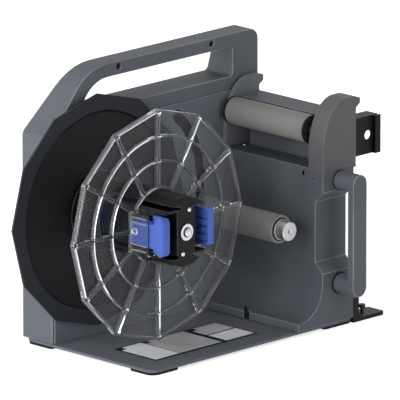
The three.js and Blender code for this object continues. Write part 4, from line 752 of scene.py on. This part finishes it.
print(flange.name, len(flange.data.polygons), "faces")

# %% [markdown]
# Where ribs cross, pairs of small frosted domes sit on the plate; their milky white paints the bright glints
# of light there. Where ribs cross, the photograph shows pairs of bright points. They are taken for the marks
# of the ejector pins, which push the plate out of its mould, and made as small frosted domes. One dome is
# turned and copied round, and all of them join the plate at once.

# %% Frosted domes that paint glints
DOME_RADIUS, DOME_HEIGHT = 1.1, 0.5
# How far out a pair stands, and how far each of its marks is from the middle of the rib
GLINT_PLACES = ((RING_RADII[0], 1.6), (RING_RADII[1], 1.6), (CORNER_RADIUS, 1.5))
dome = turn("glint_domes", SPINDLE, [
    (0, RIM_FRONT - DOME_HEIGHT), (0.6, RIM_FRONT - DOME_HEIGHT * 0.85),
    (1.0, RIM_FRONT - DOME_HEIGHT * 0.4), (DOME_RADIUS, RIM_FRONT + 0.3), (0, RIM_FRONT + 0.3)], steps=12)
marks = []
for index in range(FLANGE_SIDES):
    for radius, apart in GLINT_PLACES:
        for side in (-1, 1):
            mark = bpy.data.objects.new("mark", dome.data.copy())
            bpy.context.collection.objects.link(mark)
            mark.data.transform(Matrix.Translation(at(*SPINDLE))
                                @ Matrix.Rotation(2 * pi * index / FLANGE_SIDES, 4, "Y")
                                @ Matrix.Translation((radius * MM, 0, side * apart * MM))
                                @ Matrix.Translation(-at(*SPINDLE)))
            marks.append(mark)
bpy.data.objects.remove(dome)
only(marks[0])
for mark in marks:
    mark.select_set(True)
bpy.ops.object.join()
combine(flange, marks[0], "UNION")
print(len(marks), "marks")

# %% [markdown]
# A latch box stands on each side of the bore and guides its blue tab. It is an open box with four thin
# ribs along its walls and a small ring. The bore is cut first, then each box is joined and hollowed.

# %% Latch boxes and the bore
BORE_RADIUS, BOX_SIDES, BOX_HALF, BOX_WALL = 38.4, (19, 41.3), 23, 2
BOX_RIB, BOX_RIB_HEIGHTS = 0.5, (-17.4, -11.6, 11.6, 17.4)
EAR_Y, EAR_SHIFT, EAR_BORE, EAR_RADIUS = -107.4, 2.3, 2.6, 3.9
combine(flange, rod(SPINDLE, BORE_RADIUS, RIM_FRONT - 3, PLATE_BACK + 3, sides=96), "DIFFERENCE")
for side in (-1, 1):
    left, right = sorted(SPINDLE[0] + side * place for place in BOX_SIDES)
    shell = block((left, flange_low.y, SPINDLE[2] - BOX_HALF), (right, PLATE_BACK, SPINDLE[2] + BOX_HALF))
    round_edges(shell, 1.2)
    combine(flange, shell, "UNION")
    for height in BOX_RIB_HEIGHTS:
        rib = block((left - BOX_RIB, flange_low.y + 1.5, SPINDLE[2] + height - BOX_RIB),
                    (right + BOX_RIB, RIM_FRONT, SPINDLE[2] + height + BOX_RIB))
        combine(flange, rib, "UNION")
    ear = turn("ear", (0, EAR_Y, SPINDLE[2] - side * EAR_SHIFT),
               tube(EAR_BORE, EAR_RADIUS, left - 0.9, right + 0.9), steps=40, direction=(1, 0, 0))
    combine(flange, ear, "UNION")
    hollow = block((left + BOX_WALL, flange_low.y - 3, SPINDLE[2] - BOX_HALF + BOX_WALL),
                   (right - BOX_WALL, PLATE_FRONT, SPINDLE[2] + BOX_HALF - BOX_WALL))
    combine(flange, hollow, "DIFFERENCE")
soften(flange, 0)
print(flange.name, len(flange.data.polygons), "faces")

# %% [markdown]
# Clear polycarbonate shows its edges and hides its faces. A mould that is polished on the faces only
# leaves the walls of rim and ribs a little milky, and these milky walls are what the eye sees. One clear
# shader is made milky by place and by the way a face looks, so it stays one material.

# %% The clear plastic
clear = bpy.data.materials.new("clear_moulded_polycarbonate")
clear.use_nodes = True
tree = clear.node_tree
shader = tree.nodes["Principled BSDF"]
shader.inputs["Base Color"].default_value = to_linear("#e4e6ea")
shader.inputs["Transmission Weight"].default_value = 1.0
# Less than the plastic's 1.58, because the surround is white all round and would veil the thin plate
shader.inputs["IOR"].default_value = 1.24
# For the same reason its faces mirror only half as much as they should
shader.inputs["Specular Tint"].default_value = to_linear("#b8b8b8")
coordinates = add_node(tree, "ShaderNodeTexCoord").outputs
place = coordinates["Object"]
flow = add_node(tree, "ShaderNodeTexNoise", {"Vector": place, "Scale": 1 / (12 * MM), "Detail": 2.0})
gloss = add_node(tree, "ShaderNodeMapRange", {
    "Value": flow.outputs["Fac"], "From Min": NOISE_SPAN[0], "From Max": NOISE_SPAN[1],
    "To Min": 0.01, "To Max": 0.035})
tree.links.new(gloss.outputs["Result"], shader.inputs["Roughness"])


def fade(value, low, high):
    """0 below one value and 1 above another."""
    faded = add_node(tree, "ShaderNodeMapRange", {"Value": value, "From Min": low, "From Max": high})
    return faded.outputs["Result"]


def maths(operation, first, second=0.0):
    """One step of arithmetic."""
    return add_node(tree, "ShaderNodeMath", {0: first, 1: second}, operation=operation).outputs[0]


def both_of(first, second):
    """1 where both masks are 1."""
    return maths("MULTIPLY", first, second)


def outside_of(mask):
    """1 where a mask is 0."""
    return maths("SUBTRACT", 1.0, mask)


def part_of(vector, axis):
    """One coordinate of a vector."""
    return add_node(tree, "ShaderNodeSeparateXYZ", {"Vector": vector}).outputs[axis]


along = part_of(place, "Y")
lean = maths("ABSOLUTE", part_of(coordinates["Normal"], "Y"))
sideways = maths("ABSOLUTE", part_of(around(tree, SPINDLE), "X"))
front_y = at(0, RIM_FRONT, 0).y
behind_front = fade(along, front_y - 1.5 * MM, front_y - 0.5 * MM)
upright = both_of(behind_front, outside_of(fade(lean, 0.3, 0.7)))
on_front = both_of(behind_front, outside_of(fade(along, front_y + 0.7 * MM, front_y + 1.0 * MM)))
# The ribs and ring outside the latch boxes are made much milkier than the other walls: real frosting,
# strengthened into pale lines that paint their highlights
box_rib_highlight = both_of(fade(sideways, 41.45 * MM, 41.6 * MM), outside_of(behind_front))
# The frosted domes are the milkiest: their white paints the glints where ribs cross
on_glint_domes = both_of(fade(reach_from(tree, SPINDLE), 60 * MM, 61 * MM),
                   outside_of(fade(along, front_y - 0.12 * MM, front_y - 0.06 * MM)))
WALL_MILK, FRONT_MILK, BOX_RIB_HIGHLIGHT_MILK, GLINT_DOME_MILK, CLEAREST = 0.075, 0.03, 0.3, 0.6, 0.993
milk = maths("MULTIPLY", upright, WALL_MILK)
for mask, strength in ((on_front, FRONT_MILK), (box_rib_highlight, BOX_RIB_HIGHLIGHT_MILK), (on_glint_domes, GLINT_DOME_MILK)):
    milk = maths("MAXIMUM", milk, maths("MULTIPLY", mask, strength))
tree.links.new(maths("SUBTRACT", CLEAREST, milk), shader.inputs["Transmission Weight"])
fit(flange, clear, "outer_flange")
print(clear.name, len(tree.nodes), "nodes")

# %% [markdown]
# The hub carries the label core. It is one moulding of black nylon: a collar at the back, a barrel with a
# rounded nose, and on each side a channel for a latch box. One wall of each channel is arched, the other
# is a thin lip with a groove behind it. Both sides are alike after half a turn, so each cutter is drawn
# once, and a turned copy cuts the other side.

# %% The hub
hub_low, hub_high = span("label_core_hub")
HUB_FRONT, HUB_BACK, HUB_RADIUS, CHANNEL_END = -141.0, hub_high.y, 37.5, -50
HUB_SCREW_X, HUB_SCREW_Z = 4.6, 23
BORE, BOLT_HOLE, FRONT_WALL = 7.8, 3.3, 4.7
COLLAR, COLLAR_THICKNESS = (hub_high.x - hub_low.x) / 2, 5.9
NOSE, NOSE_STEPS = 1.8, 8
hub_section = [(BORE, HUB_BACK), (COLLAR, HUB_BACK), (COLLAR, HUB_BACK - COLLAR_THICKNESS),
               (HUB_RADIUS, HUB_BACK - COLLAR_THICKNESS)]
for step in range(NOSE_STEPS + 1):
    angle = pi / 2 * step / NOSE_STEPS
    hub_section.append((HUB_RADIUS - NOSE + NOSE * cos(angle), HUB_FRONT + NOSE - NOSE * sin(angle)))
hub_section += [(BOLT_HOLE, HUB_FRONT), (BOLT_HOLE, HUB_FRONT + FRONT_WALL), (BORE, HUB_FRONT + FRONT_WALL)]
hub = turn("core_hub_moulding", SPINDLE, hub_section)
ARCH_X, ARCH_Z, ARCH_RADIUS = 15, -3, 30.2
arch = [(ARCH_X + ARCH_RADIUS * cos(radians(angle)), ARCH_Z + ARCH_RADIUS * sin(radians(angle)))
        for angle in range(62, 98, 5)]
channel = from_spindle((13, -23.4), (45, -23.4), (45, 23.4), *arch, (9.6, 25.6), (10.4, 24), (13, 22.4))
groove = from_spindle((45, -27.0), (14, -25.3), (8, -24.9), (6.6, -26.0), (8, -27.6), (45, -35.8))
for name, outline in (("channel", channel), ("groove", groove)):
    cutter = prism(name, outline, HUB_FRONT - 3, CHANNEL_END)
    combine(hub, half_turn(cutter, "other_side"), "DIFFERENCE")
    combine(hub, cutter, "DIFFERENCE")
for side in (-1, 1):
    hole = rod((SPINDLE[0] + side * HUB_SCREW_X, 0, SPINDLE[2] + side * HUB_SCREW_Z), 1.6,
               HUB_FRONT - 3, HUB_FRONT + 8.3, sides=24)
    combine(hub, hole, "DIFFERENCE")
# The hub's rounded outer rims take the paler black that paints their highlight
dress(hub, 0.35, hub_black, "label_core_hub", edge=hub_edge_highlight, sharp_deg=50)

# %% [markdown]
# A bolt with a washer clamps the hub to the spindle, over a dark rubber seal, and two small domed screws
# hold its halves. All of them are turned, and the screws are one mesh copied by half a turn.

# %% Washer, seal, bolt and screws of the hub
SEAT = HUB_FRONT - 0.3
washer = turn("hub_washer_turned", SPINDLE, [
    (5.4, SEAT), (8.7, SEAT), (8.9, SEAT - 0.2), (8.9, SEAT - 1.3), (8.7, SEAT - 1.5),
    (5.6, SEAT - 1.5), (5.4, SEAT - 1.3)])
dress(washer, 0, zinc_plate, "hub_washer")
seal = turn("hub_seal_ring", SPINDLE, [
    (3.3, SEAT), (5.3, SEAT), (5.3, SEAT - 0.5), (4.6, SEAT - 1.2), (3.3, SEAT - 1.2)])
dress(seal, 0, foot_rubber, body=body_of["hub_washer"], slot="rubber_black")
bolt = turn("hub_bolt_turned", SPINDLE, [
    (0, SEAT - 4.8), (1.6, SEAT - 4.75), (2.9, SEAT - 4.5), (3.9, SEAT - 4.0), (4.4, SEAT - 3.3),
    (4.4, SEAT - 1.8), (3.0, SEAT - 1.8), (3.0, SEAT + 16.3), (0, SEAT + 16.3)], steps=64)
dress(bolt, 0, zinc_plate, "hub_bolt")
screw = turn("hub_screw_upper_domed", (SPINDLE[0] + HUB_SCREW_X, 0, SPINDLE[2] + HUB_SCREW_Z), [
    (0, SEAT - 1.5), (0.9, SEAT - 1.45), (1.8, SEAT - 1.1), (2.4, SEAT - 0.5), (2.5, SEAT), (1.3, SEAT),
    (1.3, SEAT + 8.3), (0, SEAT + 8.3)], steps=40)
dress(screw, 0, zinc_plate, "hub_screw_upper")
fit(half_turn(screw, "hub_screw_lower_domed"), None, "hub_screw_lower")

# %% [markdown]
# The two blue tabs are pinched to free the flange. Each has a finger pad in front, a narrower shank in
# its latch box and grooves for the fingertip on the inner side. The pad's outline from the side and its
# outline from above are pushed out to two solids, and what they share is the tab.

# %% The blue tabs
tab_low, tab_high = span("right_release_tab")
TAB_HALF, SHANK_HALF, PAD_DEPTH, SLOPE = 20.2, 13.0, 7.0, 7.2
inner, outer, front, back = tab_low.x, tab_high.x, tab_low.y, tab_high.y
half_outline = [(front, TAB_HALF - 4.2), (front + 1.9, TAB_HALF - 0.9), (front + 3.6, TAB_HALF),
                (front + PAD_DEPTH, TAB_HALF), (front + PAD_DEPTH + SLOPE, SHANK_HALF), (back, SHANK_HALF)]
outline = half_outline + [(y, -z) for y, z in reversed(half_outline)]
tab = prism("right_tab_moulding", [(y, SPINDLE[2] + z) for y, z in outline], inner, outer, direction="X")


def tab_block(x, y, z):
    """A block from three pairs of lowest and highest place; Z is measured from the spindle."""
    return block((x[0], y[0], SPINDLE[2] + z[0]), (x[1], y[1], SPINDLE[2] + z[1]))


shank = tab_block((inner, inner + 3.2), (front + PAD_DEPTH, front + 21.5), (-TAB_HALF, TAB_HALF))
combine(tab, shank, "UNION")
plan = [(inner, back + 1), (inner, front), (outer - 2.4, front), (outer, front + 2.4), (outer, back + 1)]
combine(tab, prism("plan", plan, SPINDLE[2] - 30, SPINDLE[2] + 30, direction="Z"), "INTERSECT")
GROOVE_HALF, LINE_HALF, LINE_RISE, SPRING_Y = 0.8, 0.7, 0.45, PLATE_FRONT - 12.3
for height in (-15.5, -7.4, 0.7, 8.8):
    groove = tab_block((inner - 3, inner + 1.9), (front + 2.6, front + 20),
                       (height - GROOVE_HALF, height + GROOVE_HALF))
    combine(tab, groove, "DIFFERENCE")
pocket = rod((0, SPRING_Y, SPINDLE[2]), 4.4, inner - 3, inner + 7, sides=40, direction="X")
combine(tab, pocket, "DIFFERENCE")
soften(tab, 0.35, sharp_deg=20)
for height in (-8.7, -2.9, 2.9, 8.7):
    line = tab_block((outer - 1, outer + LINE_RISE), (-125.5, -104), (height - LINE_HALF, height + LINE_HALF))
    combine(tab, line, "UNION")
fit(half_turn(tab, "left_tab_moulding"), grip_blue, "left_release_tab")
fit(tab, grip_blue, "right_release_tab")
print(tab.name, len(tab.data.polygons), "faces")

# %% [markdown]
# A coil spring pushes each tab out. The wire's round section is swept round the axis by the Screw modifier,
# and its cut ends are filled.

# %% The springs
WIRE, COIL, SPRING_TURNS = 0.45, 3.3, 6
spring_low, spring_high = span("right_tab_spring")
spring_length = spring_high.x - spring_low.x
bpy.ops.object.select_all(action="DESELECT")
bpy.ops.mesh.primitive_circle_add(vertices=10, radius=WIRE * MM,
                                  location=at(spring_low.x + WIRE, SPRING_Y, SPINDLE[2]))
spring = bpy.context.object
spring.name = spring.data.name = "right_tab_spring_coil"
bpy.ops.object.mode_set(mode="EDIT")
bpy.ops.transform.translate(value=(0, COIL * MM, 0))
bpy.ops.object.mode_set(mode="OBJECT")
apply_modifier(spring, "SCREW", axis="X", steps=24, render_steps=24, iterations=SPRING_TURNS, angle=2 * pi,
               screw_offset=(spring_length - 2 * WIRE) / SPRING_TURNS * MM)
keep_place()
bpy.ops.object.mode_set(mode="EDIT")
bpy.ops.mesh.select_all(action="SELECT")
bpy.ops.mesh.remove_doubles(threshold=SAME_POINT)
bpy.ops.mesh.fill_holes(sides=0)
faces_out()
soften(spring, 0)
for piece, node, joint, end in (
        (half_turn(spring, "left_tab_spring_coil"), "left_tab_spring", "left_tab_press", 1),
        (spring, "right_tab_spring", "right_tab_press", 0)):
    fit(piece, zinc_plate, node)
    low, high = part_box(node)
    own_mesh(piece)

# %% [markdown]
# The instruction plate is a thin black film on the base with four pale panels. The real one carries
# small drawings; here the panels stay plain, with a soft uneven tone. The first three have a square
# corner left free for a black tag, and the last one only a small notch.

# %% The plate on the base
plate_low, plate_high = span("instruction_plate")
PANEL_THICKNESS = 0.12
plate = block(plate_low, (plate_high.x, plate_high.y, plate_high.z - PANEL_THICKNESS))
plate.name = plate.data.name = "instruction_plate_film"
dress(plate, 0.15, printed_black, "instruction_plate")


def plate_panel(name, left, right, near, far, tag, material):
    """A thin panel on the plate, with its back left corner left free."""
    outline = [(left, near), (right, near), (right, far), (left + tag, far), (left + tag, far - tag),
               (left, far - tag)]
    panel = prism(name, outline, plate_high.z - PANEL_THICKNESS, plate_high.z, direction="Z")
    dress(panel, 0.03, material, body=body_of["instruction_plate"], slot="label_print")


BORDER, TAG, NOTCH = 2.2, 7.5, 0.4
near, far = plate_low.y + BORDER, plate_high.y - BORDER
plate_panel("plate_panel_first", plate_low.x + BORDER, 65.0, near, far, TAG, printed_pale)
plate_panel("plate_panel_second", 66.8, 127.5, near, far, TAG, printed_grey)
plate_panel("plate_panel_third", 135, plate_high.x - BORDER, near + 30, far, TAG, printed_grey)
plate_panel("plate_panel_fourth", 135, plate_high.x - BORDER, near, near + 27, NOTCH, printed_pale)

# %% [markdown]
# The dancer's axle is turned steel with a centre hole in its face; black bushes, a retaining ring and
# the guide roller's caps are turned too. Their sections come from the drawing.

# %% Axle, bushes, ring and caps
def ringed(material, name, centre, pitch_mm=2.4, depth_mm=0.04):
    """The same finish with the shallow rings that a lathe tool leaves on a face."""
    other = material.copy()
    other.name = name
    tree = other.node_tree
    shader = tree.nodes["Principled BSDF"]
    # A Wave texture of scale 1 repeats every 20 / (2 pi) units
    rings = add_node(tree, "ShaderNodeTexWave", {
        "Vector": around(tree, centre), "Scale": 2 * pi / 20 / (pitch_mm * MM), "Distortion": 0.3},
        wave_type="RINGS", rings_direction="Y")
    relief = add_node(tree, "ShaderNodeBump", {
        "Height": rings.outputs["Fac"], "Distance": depth_mm * MM, "Strength": 1.0,
        "Normal": shader.inputs["Normal"].links[0].from_socket})
    tree.links.new(relief.outputs["Normal"], shader.inputs["Normal"])
    return other


axle_low, axle_high = span("dancer_axle")
axle = turn("dancer_axle_turned", DANCER, [
    (0, axle_low.y + 3.4), (1.0, axle_low.y + 3.2), (1.1, axle_low.y + 1.6), (2.9, axle_low.y + 0.2),
    (3.1, axle_low.y), (9.5, axle_low.y), (10.3, axle_low.y + 0.8),
    (10.3, -4.5), (5.7, -4.5), (5.7, 4.7), (4.0, 4.7), (4.0, axle_high.y), (0, axle_high.y)])
dress(axle, 0, ringed(turned_steel, "dancer_face_turned_steel", DANCER), "dancer_axle")
RING_BORE = 10.6
for node, radius, material in (
        ("dancer_front_bush", 12.3, satin_black), ("dancer_rear_bush", 12.3, satin_black),
        ("dancer_retaining_ring", 11.3, zinc_plate)):
    low, high = span(node)
    ring = turn(node + "_turned", DANCER, tube(RING_BORE, radius, low.y, high.y))
    dress(ring, 0.15, material, node, segments=2)
for node, side in (("guide_roller_front_cap", -1), ("guide_roller_rear_cap", 1)):
    low, high = span(node)
    outside, inside = (low.y, high.y) if side < 0 else (high.y, low.y)
    seat, recess = outside - side * 2, outside - side * 4
    cap = turn(node + "_turned", GUIDE, [
        (4.3, recess), (9, recess), (9, outside), (15.5, outside), (15.5, seat), (12, seat), (12, inside),
        (4.3, inside)])
    dress(cap, 0.25, satin_black, node, segments=2)
low, high = span("guide_roller_axle")
axle = turn("guide_axle_turned", GUIDE, [
    (0, low.y), (3.6, low.y), (4, low.y + 0.4), (4, high.y - 0.4), (3.6, high.y), (0, high.y)])
dress(axle, 0, turned_steel, "guide_roller_axle")

# %% [markdown]
# The screws in the handle are black socket screws that sit deep in their holes, and the one in the clamp
# is the same kind. A head is turned, and a six-sided rod cuts its socket. The shelf's screw is domed.

# %% Socket screws
def socket_screw(node, direction, head_radius, head_height, shank_radius):
    """A socket screw in the place of a CAD screw: its head is in front or, if it stands, on top."""
    low, high = span(node)
    middle = (low + high) / 2
    index = "XYZ".index(direction)
    sign = -1 if direction == "Z" else 1
    top, bottom = (high[index], low[index]) if sign < 0 else (low[index], high[index])
    centre = list(middle)
    centre[index] = 0
    way = [0, 0, 0]
    way[index] = 1
    under = top + sign * head_height
    piece = turn(node + "_socket", centre, [
        (0, top), (head_radius - 0.3, top), (head_radius, top + sign * 0.3), (head_radius, under),
        (shank_radius, under), (shank_radius, bottom), (0, bottom)], steps=40, direction=tuple(way))
    socket = rod(middle, head_radius * 0.5, *sorted((top - sign, top + sign * head_height * 0.6)), sides=6,
                 direction=direction)
    combine(piece, socket, "DIFFERENCE")
    dress(piece, 0, black_oxide, node)


socket_screw("handle_screw_left", "Y", 3.2, 2.6, 1.8)
socket_screw("handle_screw_right", "Y", 3.2, 2.6, 1.8)
socket_screw("clamp_screw", "Z", 3.8, 3.6, 1.9)
screw_low, screw_high = span("shelf_screw")
screw = turn("shelf_screw_domed", (*((screw_low + screw_high) / 2).xy, 0), [
    (0, screw_high.z), (1.0, screw_high.z - 0.1), (1.9, screw_high.z - 0.5), (2.5, screw_high.z - 1.2),
    (2.6, screw_high.z - 1.6), (1.5, screw_high.z - 1.6), (1.5, screw_low.z), (0, screw_low.z)], steps=40,
    direction=(0, 0, 1))
dress(screw, 0, zinc_plate, "shelf_screw")

# %% [markdown]
# What is left of the frame's own solids sits inside the housing: bearings, shaft, belt drive, motor and
# circuit board. Their shapes are right as they are, so they only get their finish, by what each is
# made of.

# %% Finishes of the inner works
for node, material in (
        ("spindle_shaft", turned_steel), ("spindle_bearing_housing", bare_aluminium),
        ("spindle_front_bearing", turned_steel), ("spindle_rear_bearing", turned_steel),
        ("driven_pulley", bare_aluminium), ("drive_pulley", bare_aluminium), ("drive_belt", belt_rubber),
        ("motor_shaft", turned_steel), ("winding_motor", motor_black), ("motor_mount", galvanised),
        ("circuit_board", board_green), ("board_tray", galvanised), ("dancer_arm", galvanised),
        ("dancer_pivot_post", turned_steel), ("dancer_pivot_clip", zinc_plate), ("dancer_stop", belt_rubber),
        ("dancer_axle_nut", zinc_plate)):
    frame["nodes"][node].data.materials.clear()
    frame["nodes"][node].data.materials.append(material)
